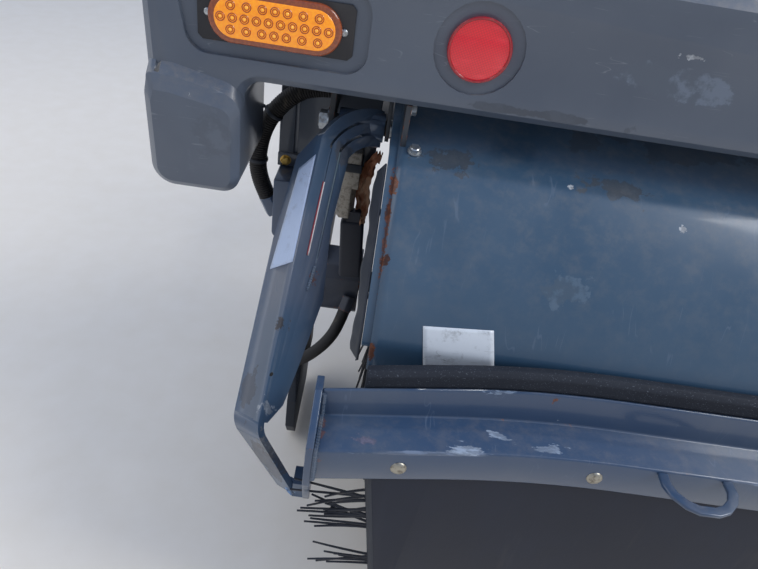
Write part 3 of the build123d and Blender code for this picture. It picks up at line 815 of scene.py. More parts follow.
    def hex_bolt(self, place: Point, way: Point, across: float, thread: float = 0.0) -> "Shape":
        """Add a washer, a six-sided head and the thread's end, in millimetres.

        Args:
            place: Where the washer lies on its plate.
            way: The way in which the head looks.
            across: The head's width.
            thread: How far the thread stands out behind.

        Returns:
            The shape.
        """
        base, look = Vector(place), Vector(way).normalized()
        washer, head, crown = (base + look * across * share for share in (0.1, 0.55, 0.62))
        self.rod(base, washer, across * 0.72)
        self.rod(washer, head, across * 0.577, sides=6)
        self.rod(head, crown, across * 0.5, across * 0.4, sides=12)
        if thread:
            self.rod(base - look * thread, base, across * 0.3)
        return self

    def bead(self, points: Sequence[Point], radius: float, seed: int = 1) -> "Shape":
        """Lay an uneven weld bead, in millimetres.

        Args:
            points: The corners between its straight runs.
            radius: Its mean radius.
            seed: The draw of its ripples.

        Returns:
            The shape.
        """
        draw = random.Random(seed)
        line = []
        for start, end in zip(points, points[1:]):
            first, last = Vector(start) * MM, Vector(end) * MM
            steps = max(2, round((last - first).length / (radius * 0.45 * MM)))
            line += [first.lerp(last, i / steps) for i in range(steps)]
        line.append(Vector(points[-1]) * MM)
        ripples = [1.0 + 0.16 * (i % 3 - 1) + draw.uniform(-0.08, 0.08) for i in range(len(line))]
        sizes = [radius * MM * ripple for ripple in ripples]
        return self.tube(line, lambda share: sizes[round(share * (len(line) - 1))], 8)

    def ring(self, place: Point, way: Point, radius: float, thick: float, steps: int = 40,
             flat: float = 1.0) -> "Shape":
        """Add a round ring, in millimetres.

        Args:
            place: Its middle.
            way: The way its axis points.
            radius: From its middle to the middle of its section.
            thick: The section's half height.
            steps: Faces round the ring.
            flat: How many times wider than high the section is.

        Returns:
            The shape.
        """
        facing = Vector(way).to_track_quat("Z", "X").to_matrix().to_4x4()
        matrix = Matrix.Translation(Vector(place) * MM) @ facing
        section = matrix @ Matrix.Translation((radius * MM, 0, 0)) @ Matrix.Rotation(pi / 2, 4, "X")
        section = section @ Matrix.Diagonal((1.0, flat, 1.0, 1.0))
        circle = bmesh.ops.create_circle(self.mesh, segments=10, radius=thick * MM, matrix=section)["verts"]
        rim = list(dict.fromkeys(e for v in circle for e in v.link_edges))
        bmesh.ops.spin(self.mesh, geom=circle + rim, cent=matrix.translation,
                       axis=facing.to_3x3() @ Vector((0, 0, 1)), angle=2 * pi, steps=steps, use_merge=True)
        return self.outwards()

    def mirror(self) -> "Shape":
        """Add the mirror image on the other side of the middle plane.

        Returns:
            The shape.
        """
        whole = self.mesh.verts[:] + self.mesh.edges[:] + self.mesh.faces[:]
        copy = bmesh.ops.duplicate(self.mesh, geom=whole)["geom"]
        vertices = [g for g in copy if isinstance(g, bmesh.types.BMVert)]
        bmesh.ops.scale(self.mesh, vec=(-1.0, 1.0, 1.0), verts=vertices)
        bmesh.ops.reverse_faces(self.mesh, faces=[g for g in copy if isinstance(g, bmesh.types.BMFace)])
        return self

    def outwards(self) -> "Shape":
        """Turn all faces outwards."""
        bmesh.ops.recalc_face_normals(self.mesh, faces=self.mesh.faces[:])
        return self

    def publish(self, name: str, finish: object, body: Body, slot: Slot | None = None,
                replaces: Iterable[str] = (), smooth: float = 32.0) -> bpy.types.Object:
        """Make the finished piece.

        Args:
            name: The piece's name.
            finish: Its finish.
            body: The body that it rides on.
            slot: The record's slot, which is not used.
            replaces: The nodes that it stands for.
            smooth: Edges sharper than this many degrees stay sharp.

        Returns:
            The piece's object.
        """
        mesh = bpy.data.meshes.new(name)
        self.mesh.to_mesh(mesh)
        self.mesh.free()
        mesh.polygons.foreach_set("use_smooth", [True] * len(mesh.polygons))
        mesh.set_sharp_from_angle(angle=radians(smooth))
        mesh.materials.append(finish_of(finish))
        piece = bpy.data.objects.new(name, mesh)
        bpy.context.scene.collection.objects.link(piece)
        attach(piece, body.value)
        if replaces:
            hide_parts(*replaces)
        LOG.info("%s: %d faces", name, len(mesh.polygons))
        return piece


def thicken(piece: bpy.types.Object, wall: float, offset: float = -1.0) -> None:
    """Give a skin its wall.

    Args:
        piece: The skin.
        wall: The wall's thickness in millimetres.
        offset: Where the skin lies in the wall, from 1 at its inside to -1 at its outside.
    """
    solid = piece.modifiers.new("wall", "SOLIDIFY")
    solid.thickness = wall * MM
    solid.offset = offset
    solid.use_even_offset = True


def pair(name: str) -> tuple[str, str]:
    """The names of a node's left and right copies."""
    return f"{name}_left", f"{name}_right"


def dress(names: Iterable[str], finish: object, body: Body, slot: Slot, width: float = 1.2) -> None:
    """Replace solids by softened copies of themselves.

    Args:
        names: The nodes.
        finish: Their finish.
        body: Their body.
        slot: Their slot.
        width: The width of their rounded edges in millimetres.
    """
    for name in names:
        Shape.of_node(name).soften(width).publish(f"{name}_skin", finish, body, slot, (name,))


FRAME_PAINT = DustyPaint()
CORE_PAINT = DustyPaint("satin_core_paint", tone(36, 37, 40), cover=0.35, rust=0.3)
CASTING = DustyPaint("dusty_casting", tone(42, 50, 66), tone(84, 82, 80), rough=0.5, cover=0.5, rust=0.3)
VALVE_ALLOY = BareMetal("valve_alloy", tone(168, 162, 152), tone(96, 88, 78), 0.5, 0.8, 0.5)
RUBBER = Rubber()
FLAP_RUBBER = Rubber("flap_rubber", tone(15, 23, 40), tone(30, 40, 60), dust=0.07)
SEAL_RUBBER = Rubber("seal_rubber", tone(27, 32, 42), tone(44, 50, 60), rough=0.7, dust=0.1, fibres=0.3,
                     grain=520.0)
HOSE_RUBBER = Rubber("hose_rubber", tone(26, 25, 26), tone(58, 52, 46), rough=0.55, dust=0.5)
ZINC = BareMetal()
BRASS = BareMetal("yellow_passivate", tone(196, 164, 92), tone(110, 92, 60), stained=0.5)
BRISTLE = Rubber("bristle_plastic", tone(24, 26, 32), tone(44, 48, 58), 0.42, 0.3)
CHROME = BareMetal("hard_chrome", tone(214, 216, 220), tone(140, 132, 120), rough=0.12, stained=0.25)
BACKING = DustyPaint("matt_lamp_backing", tone(38, 38, 42), tone(92, 86, 80), rough=0.55, cover=0.3,
                     rust=0.0)
WELD = Enamel("weld_enamel", tone(58, 74, 94), wear=0.9)


# The arm's own plane
ELBOW = Vector((-868.0, -1125.0, -503.0))
DOWN = Vector((-0.071, -0.621, -0.781)).normalized()
REAR = Vector((0.667, -0.611, 0.425)).normalized()
INBOARD = REAR.cross(DOWN)


def on_arm(along: float, inward: float, deep: float = 0.0) -> Vector:
    """A place on the left arm, in millimetres.

    Args:
        along: Down the leg from the elbow.
        inward: Inboard from the ridge line.
        deep: Forwards from the rear face.

    Returns:
        The place.
    """
    return ELBOW + DOWN * along + INBOARD * inward - REAR * deep


# Door beam's bend
@dataclass(frozen=True)
class BeamBend:
    """The old knock that bends the beam's left end rearwards and twists it, in millimetres."""

    kink_x: float = -485.0
    degrees: float = 8.5
    ease: float = 130.0
    step_z: float = -478.0
    top_z: float = -422.0
    drop: float = 9.0
    reach: float = 305.0
    curl: float = 1.4
    most_lift: float = 1.7

    def rule(self, place: Vector) -> Vector:
        """Ease the sharp kink of the solids into a smooth bend, with the twist.

        Args:
            place: A vertex's place in metres.

        Returns:
            Its new place in metres.
        """
        x, y, z = place.x / MM, place.y, place.z / MM
        slope = tan(radians(self.degrees))
        out = self.kink_x - x
        sharp = slope * max(0.0, out)
        eased = sharp
        if abs(out) < self.ease:
            eased = slope * (out + self.ease) ** 2 / (4 * self.ease)
        twist = max(0.0, out / self.reach) ** self.curl * self.drop
        lift = min(self.most_lift, max(0.0, (z - self.step_z) / (self.top_z - self.step_z)))
        return Vector((place.x, y - (eased - sharp) * MM, (z - twist * lift) * MM))


BEND = BeamBend()


@dataclass(frozen=True)
class PhotoCamera:
    """The camera that sees the assembly as the photograph does, in metres and degrees."""

    place: Point = (-0.7661, -1.7279, 0.1894)
    down: float = 36.0
    yaw: float = 2.5
    roll: float = 9.7
    lens_mm: float = 30.4
    sensor_mm: float = 36.0

    def build(self) -> None:
        """Make the camera and set it as the scene's own."""
        data = bpy.data.cameras.new("photo_camera")
        data.lens = self.lens_mm
        data.sensor_width = self.sensor_mm
        data.sensor_fit = "HORIZONTAL"
        data.clip_end = 50.0
        camera = bpy.data.objects.new("photo_camera", data)
        bpy.context.scene.collection.objects.link(camera)
        turn = Matrix.Rotation(radians(-self.yaw), 4, "Z")
        tilt = Matrix.Rotation(radians(90.0 - self.down), 4, "X")
        roll = Matrix.Rotation(radians(self.roll), 4, "Z")
        camera.matrix_world = Matrix.Translation(self.place) @ turn @ tilt @ roll
        bpy.context.scene.camera = camera


@dataclass
class Studio:
    """The pale floor and the soft light round the assembly, in metres and watts."""

    floor_z: float = -1.0
    floor_half: float = 12.0
    sky_strength: float = 0.62
    horizon: Colour = (0.92, 0.93, 0.95, 1.0)
    overhead: Colour = (0.42, 0.60, 1.0, 1.0)
    key: Point = (2.9, -1.5, 3.1)
    key_size: float = 2.2
    key_energy: float = 150.0
    fill: Point = (-4.0, -1.0, 2.2)
    fill_size: float = 3.0
    fill_share: float = 0.35
    aim: Point = (-0.6, -0.9, -0.4)

    def build(self) -> None:
        """Make the floor, the sky and the lamps."""
        self.floor()
        self.sky()
        self.lamp("key_light", self.key, self.key_size, self.key_energy)
        self.lamp("fill_light", self.fill, self.fill_size, self.key_energy * self.fill_share)

    def floor(self) -> None:
        """Lay the pale floor just under the broom."""
        shape = bmesh.new()
        bmesh.ops.create_grid(shape, x_segments=1, y_segments=1, size=self.floor_half)
        bmesh.ops.translate(shape, verts=shape.verts, vec=(0.0, 0.0, self.floor_z))
        mesh = bpy.data.meshes.new("floor")
        shape.to_mesh(mesh)
        shape.free()
        ground = bpy.data.objects.new("floor", mesh)
        bpy.context.scene.collection.objects.link(ground)
        paint = Paint("pale_floor", {"Roughness": 0.85})
        colour = paint.mix(paint.noise(14.0, 5.0), tone(240, 230, 214), tone(248, 240, 228))
        mesh.materials.append(paint.finish(Base_Color=colour))

    def sky(self) -> None:
        """Light the scene from a pale sky that is bluer overhead."""
        world = bpy.data.worlds.new("pale_sky")
        world.use_nodes = True
        bpy.context.scene.world = world
        nodes, links = world.node_tree.nodes, world.node_tree.links
        place = nodes.new("ShaderNodeTexCoord")
        split = nodes.new("ShaderNodeSeparateXYZ")
        ramp = nodes.new("ShaderNodeValToRGB")
        ramp.color_ramp.elements[0].color = self.horizon
        ramp.color_ramp.elements[1].color = self.overhead
        links.new(place.outputs["Generated"], split.inputs[0])
        links.new(split.outputs["Z"], ramp.inputs[0])
        links.new(ramp.outputs["Color"], nodes["Background"].inputs["Color"])
        nodes["Background"].inputs["Strength"].default_value = self.sky_strength

    def lamp(self, name: str, place: Point, size: float, energy: float) -> None:
        """Hang one soft square lamp that faces the assembly.

        Args:
            name: The lamp's name.
            place: Where it hangs.
            size: The length of its side.
            energy: Its power.
        """
        data = bpy.data.lights.new(name, "AREA")
        data.size = size
        data.energy = energy
        lamp = bpy.data.objects.new(name, data)
        bpy.context.scene.collection.objects.link(lamp)
        aim = Vector(self.aim) - Vector(place)
        lamp.matrix_world = Matrix.Translation(place) @ aim.to_track_quat("-Z", "Y").to_matrix().to_4x4()


@dataclass
class Hoses:
    """The corrugated hose bundle beside the arm and the motor's own hose, in millimetres."""

    loom: tuple[Point, ...] = ((-843, -728, -170), (-882, -728, -170), (-924, -728, -202), (-953, -728, -246),
                               (-964, -728, -300), (-961, -728, -345), (-945, -728, -378))
    loom_radius: float = 15.0
    motor: tuple[Point, ...] = ((-783, -716, -624), (-792, -736, -656), (-813, -750, -690),
                                (-842, -756, -722), (-866, -746, -750), (-871, -728, -770))
    motor_radius: float = 12.0
    pitch: float = 4.2
    tie_shares: tuple[float, ...] = (0.42, 0.74)
    tie_look: Point = (-1.0, -0.2, 0.1)

    def line(self, name: str, route: Sequence[Point], step: float) -> list[Vector]:
        """Read even points from the route's smooth line.

        Args:
            name: The route's name.
            route: Its control points.
            step: The space between the points that are read, in millimetres.

        Returns:
            The points in metres.
        """
        curve = bpy.data.curves.new(name, "CURVE")
        curve.dimensions = "3D"
        curve.resolution_u = 32
        spline = curve.splines.new("NURBS")
        spline.points.add(len(route) - 1)
        for point, place in zip(spline.points, route):
            point.co = (*[c * MM for c in place], 1.0)
        spline.order_u = 3
        spline.use_endpoint_u = True
        holder = bpy.data.objects.new(name, curve)
        bpy.context.scene.collection.objects.link(holder)
        mesh = bpy.data.meshes.new_from_object(holder)
        raw = [vertex.co.copy() for vertex in mesh.vertices]
        bpy.data.objects.remove(holder)
        even, spare = [raw[0]], step * MM
        for start, end in zip(raw, raw[1:]):
            length, done = (end - start).length, 0.0
            while length - done >= spare:
                done += spare
                even.append(start.lerp(end, done / length))
                spare = step * MM
            spare -= length - done
        if (raw[-1] - even[-1]).length > 0.2 * step * MM:
            even.append(raw[-1])
        return even

    def build(self) -> None:
        """Make both hoses and the ties."""
        self.make_loom()
        self.make_motor_hose()

    def length(self, line: Sequence[Vector]) -> float:
        """The length of a line of points."""
        return sum((b - a).length for a, b in zip(line, line[1:]))

    def make_loom(self) -> None:
        """The bundle in its corrugated sleeve, with two ties round it."""
        line = self.line("loom_route", self.loom, self.pitch / 3)
        last = len(line) - 1

        def radius(share: float) -> float:
            """The sleeve's radius, in and out at every ring."""
            dent = (0.0, 0.35, 1.5)[round(share * last) % 3]
            return (self.loom_radius - dent) * MM

        for number, share in enumerate(self.tie_shares):
            self.tie(f"loom_tie_{number + 1}", line, share)
        sleeve = Shape().tube(line, radius, 20).outwards()
        piece = sleeve.publish("hose_loom_sleeve", HOSE_RUBBER, Body.FRAME, Slot.RUBBER, ("hose_loom",), 60)
        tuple(line[0])
        self.length(line)

    def tie(self, name: str, line: Sequence[Vector], share: float) -> bpy.types.Object:
        """A plastic tie round the bundle, with its lock and its cut tail.

        Args:
            name: The tie's name.
            line: The bundle's line of points in metres.
            share: How far along the line the tie sits, from 0 to 1.

        Returns:
            The tie's object.
        """
        index = round(share * (len(line) - 1))
        here, way = line[index] / MM, (line[index + 1] - line[index - 1]).normalized()
        look = Vector(self.tie_look)
        side = (look - way * look.dot(way)).normalized()
        lock = here + side * (self.loom_radius + 3)
        tail = lock + side * 5
        shape = Shape().ring(here, way, self.loom_radius + 0.9, 1.3, 24, flat=2.4)
        shape.rod(lock, tail, 3.4, 3.0, 4).rod(tail, lock + side * 13 - way * 3, 1.3, 1.1, 6)
        return shape.publish(name, RUBBER, Body.FRAME, Slot.RUBBER)

    def make_motor_hose(self) -> None:
        """The smooth hose from the motor to its socket."""
        line = self.line("motor_route", self.motor, 3.0)
        hose = Shape().tube(line, lambda share: self.motor_radius * MM, 20).outwards()
        piece = hose.publish("motor_hose_line", HOSE_RUBBER, Body.CARRIER, Slot.RUBBER, ("motor_hose",), 60)
        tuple(line[0])
        self.length(line)


@dataclass
class ChassisFrame:
    """The plate, rails and cross member behind the bumper, with their bolts, in millimetres."""

    plate_y: float = -14.0
    bolt_x: tuple[float, ...] = (150.0, 420.0)
    bolt_z: float = 55.0
    bolt_across: float = 26.0
    bolt_thread: float = 12.0

    def build(self) -> None:
        """Finish the solids and add the bolts."""
        steel = ("chassis_plate", *pair("frame_rail"), "rear_cross_member", "lift_cross_tube",
                 *pair("bumper_bracket"), *pair("carrier_bracket"))
        dress(steel, FRAME_PAINT, Body.FRAME, Slot.FRAME, 1.5)
        bolts = Shape()
        for x in (*self.bolt_x, *[-x for x in self.bolt_x]):
            for z in (-self.bolt_z, self.bolt_z):
                bolts.hex_bolt((x, self.plate_y, z), (0, -1, 0), self.bolt_across, self.bolt_thread)
        bolts.publish("chassis_bolts", ZINC, Body.FRAME)


@dataclass
class Bumper:
    """The moulded bumper, in millimetres."""

    edge: float = 4.5
    face_y: float = -900.0
    proud: float = 25.0
    pad_inner: float = 945.0
    corner: Flat = (1048.0, -132.0)
    corner_r: float = 32.0
    slope: float = 24.0
    slope_foot: float = -215.0
    marks: tuple[Mark, ...] = (
        Mark((-1016, -925, -128), (5, 10, 24), CHALK, 0.8, grain=170, ragged=1.0, stretch=(1, 1, 0.4)),
        # A bluish glossy patch on the left pad's top corner: a painted reflection of the sky.
        Mark((-1052, -925, -112), (16, 12, 18), tone(70, 92, 124), 0.6, 0.3),
        Mark((-985, -925, -190), (60, 10, 60), tone(98, 106, 118), 0.35, 0.45, 30, 0.8),
        # A broad lighter blue-grey patch high on the left of the face: a painted sheen.
        Mark((-407, -900, -33), (140, 12, 36), tone(112, 124, 140), 0.7, 0.4, 22, 0.6, (0, 6, 0)),
        Mark((-393, -900, 1), (26, 12, 5), CHALK, 0.7, grain=120, ragged=1.0),
        Mark((-560, -902, -100), (180, 20, 12), tone(60, 66, 76), 0.5, 0.55, 20, 0.8),
        Mark((960, -925, -190), (60, 10, 60), tone(98, 106, 118), 0.35, 0.45, 30, 0.8),
        # The like patch on the right half: a painted sheen too.
        Mark((300, -900, -20), (150, 12, 30), tone(108, 118, 132), 0.5, 0.4, 22, 0.8, (0, -5, 0)))

    def flow(self, place: Vector) -> Vector:
        """Let the drop pads grow out of the bumper's side and slope in at their tops, as a mould does.

        Args:
            place: A vertex's place in metres.

        Returns:
            Its new place in metres.
        """
        x, y, z = place / MM
        proud = min(1.0, max(0.0, (self.face_y - y) / self.proud))
        if proud <= 0.0 or abs(x) < self.pad_inner:
            return place
        corner_x, corner_z = self.corner
        over, up = (abs(x) - corner_x) / self.corner_r, (z - corner_z) / self.corner_r
        if over > 0.0 and up > 0.0:
            squarer = hypot(over, up) / max(over, up)
            x = (corner_x + over * squarer * self.corner_r) * (1 if x > 0 else -1)
            z = corner_z + up * squarer * self.corner_r
        near_top = min(1.0, max(0.0, (z - self.slope_foot) / (corner_z + self.corner_r - self.slope_foot)))
        return Vector((x, y, z - self.slope * proud * near_top)) * MM

    def build(self) -> None:
        """Round the solid's edges as a mould does."""
        shape = Shape.of_node("bumper_shell").soften(self.edge, 20.0, 4).warp(self.flow)
        shape.publish("bumper_moulding", Moulding(marks=self.marks), Body.FRAME, Slot.BUMPER,
                      ("bumper_shell",), 50)


@dataclass
class Lamps:
    """The oval amber lamps on their plates and the round red reflectors, in millimetres."""

    x: float = -912.0
    z: float = -37.0
    face_y: float = -906.0
    plate_y: float = -896.0
    lens: Flat = (152.0, 50.0)
    lens_deep: float = 4.0
    lens_proud: float = 0.8
    light_rings: tuple[tuple[float, float, int], ...] = ((5.4, 0.75, 18), (3.2, 0.6, 14))
    light_core: Flat = (2.0, 1.4)
    screw_x: float = 86.0
    screw_head: Flat = (5.0, 2.6)
    socket_radius: float = 1.7
    socket_out: Flat = (2.2, 2.9)
    middle_row: tuple[float, ...] = (-67.5, -52.5, -37.5, -22.5, -7.5, 7.5, 22.5, 37.5, 52.5, 67.5)
    outer_row: tuple[float, ...] = (-55.0, -35.0, -15.5, 0.0, 15.5, 35.0, 55.0)
    row_gap: float = 14.5
    reflector: Point = (-655.0, -902.0, -31.0)
    reflector_radius: float = 40.0

    def build(self) -> None:
        """Make both sides."""
        dress(pair("lamp_plate"), BACKING, Body.FRAME, Slot.BACKING, 0.8)
        ring = AmberPlastic("amber_rim", tone(158, 76, 34), tone(84, 42, 28), 0.0)
        for name in pair("signal_lamp"):
            rim = Shape.of_node(name).soften(3.5, 40.0, 4)
            rim.publish(f"{name}_rim", ring, Body.FRAME, Slot.AMBER, (name,), 60)
        self.lenses()
        self.screws()
        self.reflectors()

    def lenses(self) -> None:
        """The lens with its small round lights, on both sides."""
        lens, lights, cores = Shape(), Shape(), Shape()
        straight = (self.lens[0] - self.lens[1]) / 2
        front = self.face_y - self.lens_proud
        lens.rod((self.x, self.face_y + self.lens_deep, self.z), (self.x, front, self.z), self.lens[1] / 2,
                 sides=46)
        lens.warp(lambda p: Vector((p.x + (straight if p.x > self.x * MM else -straight) * MM, p.y, p.z)))
        lens.soften(1.6, 40.0, 3)
        places = [(x, 0.0) for x in self.middle_row]
        places += [(x, side * self.row_gap) for x in self.outer_row for side in (-1, 1)]
        for x, z in places:
            spot = (self.x + x, front, self.z + z)
            for radius, thick, steps in self.light_rings:
                lights.ring(spot, (0, 1, 0), radius, thick, steps)
            cores.dome(spot, (0, -1, 0), *self.light_core, 10)
        lens.mirror().publish("lamp_lenses", AmberPlastic(), Body.FRAME, Slot.AMBER)
        ring = AmberPlastic("amber_light_ring", tone(196, 88, 8), tone(120, 52, 8), 0.0)
        lights.mirror().publish("lamp_light_rings", ring, Body.FRAME, Slot.AMBER)
        core = AmberPlastic("amber_light_core", tone(255, 188, 60), tone(240, 140, 20), 0.3)
        cores.mirror().publish("lamp_light_cores", core, Body.FRAME, Slot.AMBER)

    def screws(self) -> None:
        """The screws that hold the plates."""
        screws = Shape()
        for side in (-1, 1):
            x = self.x + side * self.screw_x
            screws.dome((x, self.plate_y, self.z), (0, -1, 0), *self.screw_head, 18)
            foot, face = [(x, self.plate_y - out, self.z) for out in self.socket_out]
            screws.rod(foot, face, self.socket_radius, sides=6)
        screws.mirror().publish("lamp_screws", ZINC, Body.FRAME)

    def reflectors(self) -> None:
        """The red discs in their rims."""
        for name in pair("reflector"):
            disc = Shape.of_node(name).soften(1.2, 40.0, 2)
            disc.publish(f"{name}_disc", PrismRed(), Body.FRAME, Slot.RED, (name,), 50)
        rim = Shape().ring(self.reflector, (0, 1, 0), self.reflector_radius - 1.2, 2.0, 56)
        red = AmberPlastic("red_rim", tone(168, 12, 26), tone(104, 6, 16), 0.0)
        rim.mirror().publish("reflector_rims", red, Body.FRAME, Slot.RED)


@dataclass
class DoorPivots:
    """The brackets and panels that the door hangs from, with the valve and box, in millimetres."""

    door: Flat = (-790.0, -197.0)
    pin_out: float = -843.0
    pin_in: float = -749.0
    pin_heads: Flat = (26.0, 20.0)
    bar_bolt: float = 13.0
    bar_bolts: tuple[float, ...] = (-918.0, -786.0)
    bar_z: float = -313.0
    bar_y: float = -712.0
    band: tuple[Point, Point] = ((-828, -754, -298), (-784, -710, -283))
    boot: tuple[Point, Point] = ((-806, -747, -520), (-764, -724, -398))
    boot_neck: tuple[Point, Point] = ((-800, -744, -400), (-776, -728, -378))
    boot_lean: float = -4.0
    # Down the sheet: the X of its outer and its inner edge, then its Y and its Z
    sheet: tuple[tuple[float, float, float, float], ...] = (
        (-766, -755, -750, -258), (-779, -761, -736, -288), (-790, -766, -724, -320),
        (-790, -765, -724, -352), (-786, -764, -736, -384), (-782, -768, -742, -400))

    def build(self) -> None:
        """Finish the solids, then add the pins' heads, the bolts, the band, the boot and the torn sheet."""
        panel = Enamel("panel_enamel", tone(58, 66, 80), tone(70, 78, 90), gloss=0.38, dust=0.5, wear=0.4)
        box = Enamel("box_enamel", tone(52, 72, 100), tone(66, 84, 108), gloss=0.32, dust=0.45, wear=0.5)
        dress(pair("door_bracket"), FRAME_PAINT, Body.FRAME, Slot.FRAME)
        dress(pair("side_panel"), panel, Body.FRAME, Slot.FRAME)
        dress(("junction_box",), box, Body.FRAME, Slot.FRAME, 1.6)
        dress(("valve_block",), VALVE_ALLOY, Body.FRAME, Slot.CAST, 1.6)
        y, z = self.door
        outer, inner = self.pin_heads
        pins = Shape().hex_bolt((self.pin_out, y, z), (-1, 0, 0), outer)
        pins.hex_bolt((self.pin_in, y, z), (1, 0, 0), inner).mirror()
        pins.publish("door_pin_heads", ZINC, Body.FRAME)
        bolts = Shape()
        for x in self.bar_bolts:
            bolts.hex_bolt((x, self.bar_y, self.bar_z), (0, -1, 0), self.bar_bolt)
        bolts.mirror().publish("panel_bolts", BRASS, Body.FRAME)
        Shape().block(*self.band).soften(1.0).publish("valve_band", RUBBER, Body.FRAME)
        self.make_boot()
        self.make_sheet()

    def make_boot(self) -> None:
        """The rubber boot that hangs beside the arm, with its narrow neck."""
        rubber = Rubber("boot_rubber", tone(32, 36, 48), tone(54, 56, 62), dust=0.3)
        boot = Shape().block(*self.boot, Matrix.Rotation(radians(self.boot_lean), 4, "Y"))
        boot.soften(6.0, 20.0, 3).block(*self.boot_neck).soften(0.8, 60.0, 1)
        boot.publish("wiring_boot", rubber, Body.FRAME)

    def make_sheet(self) -> None:
        """The torn rusty sheet that is left on the panel's bar."""
        def place(u: float, v: float) -> Vector:
            """One place on the crumpled sheet.

            Args:
                u: How far across it, from 0 to 1.
                v: How far down it, from 0 to 1.

            Returns:
                The place in metres.
            """
            part = min(len(self.sheet) - 2, int(v * (len(self.sheet) - 1)))
            share = v * (len(self.sheet) - 1) - part
            low, high = Vector(self.sheet[part]), Vector(self.sheet[part + 1])
            out_x, in_x, y, z = low.lerp(high, share)
            crease = 4.0 * sin(9 * v + 4 * u) * sin(pi * u) + 1.0 * sin(31 * v + 11 * u)
            tear = 1.6 * sin(19 * v + 1) + 0.8 * sin(57 * v)
            return Vector((out_x + (in_x - out_x) * u + tear, y + crease, z + 4 * sin(14 * u))) * MM

        sheet = Shape().grid(14, 44, place).outwards()
        thicken(sheet.publish("torn_sheet", RustySheet(), Body.FRAME), 1.2, 0.0)


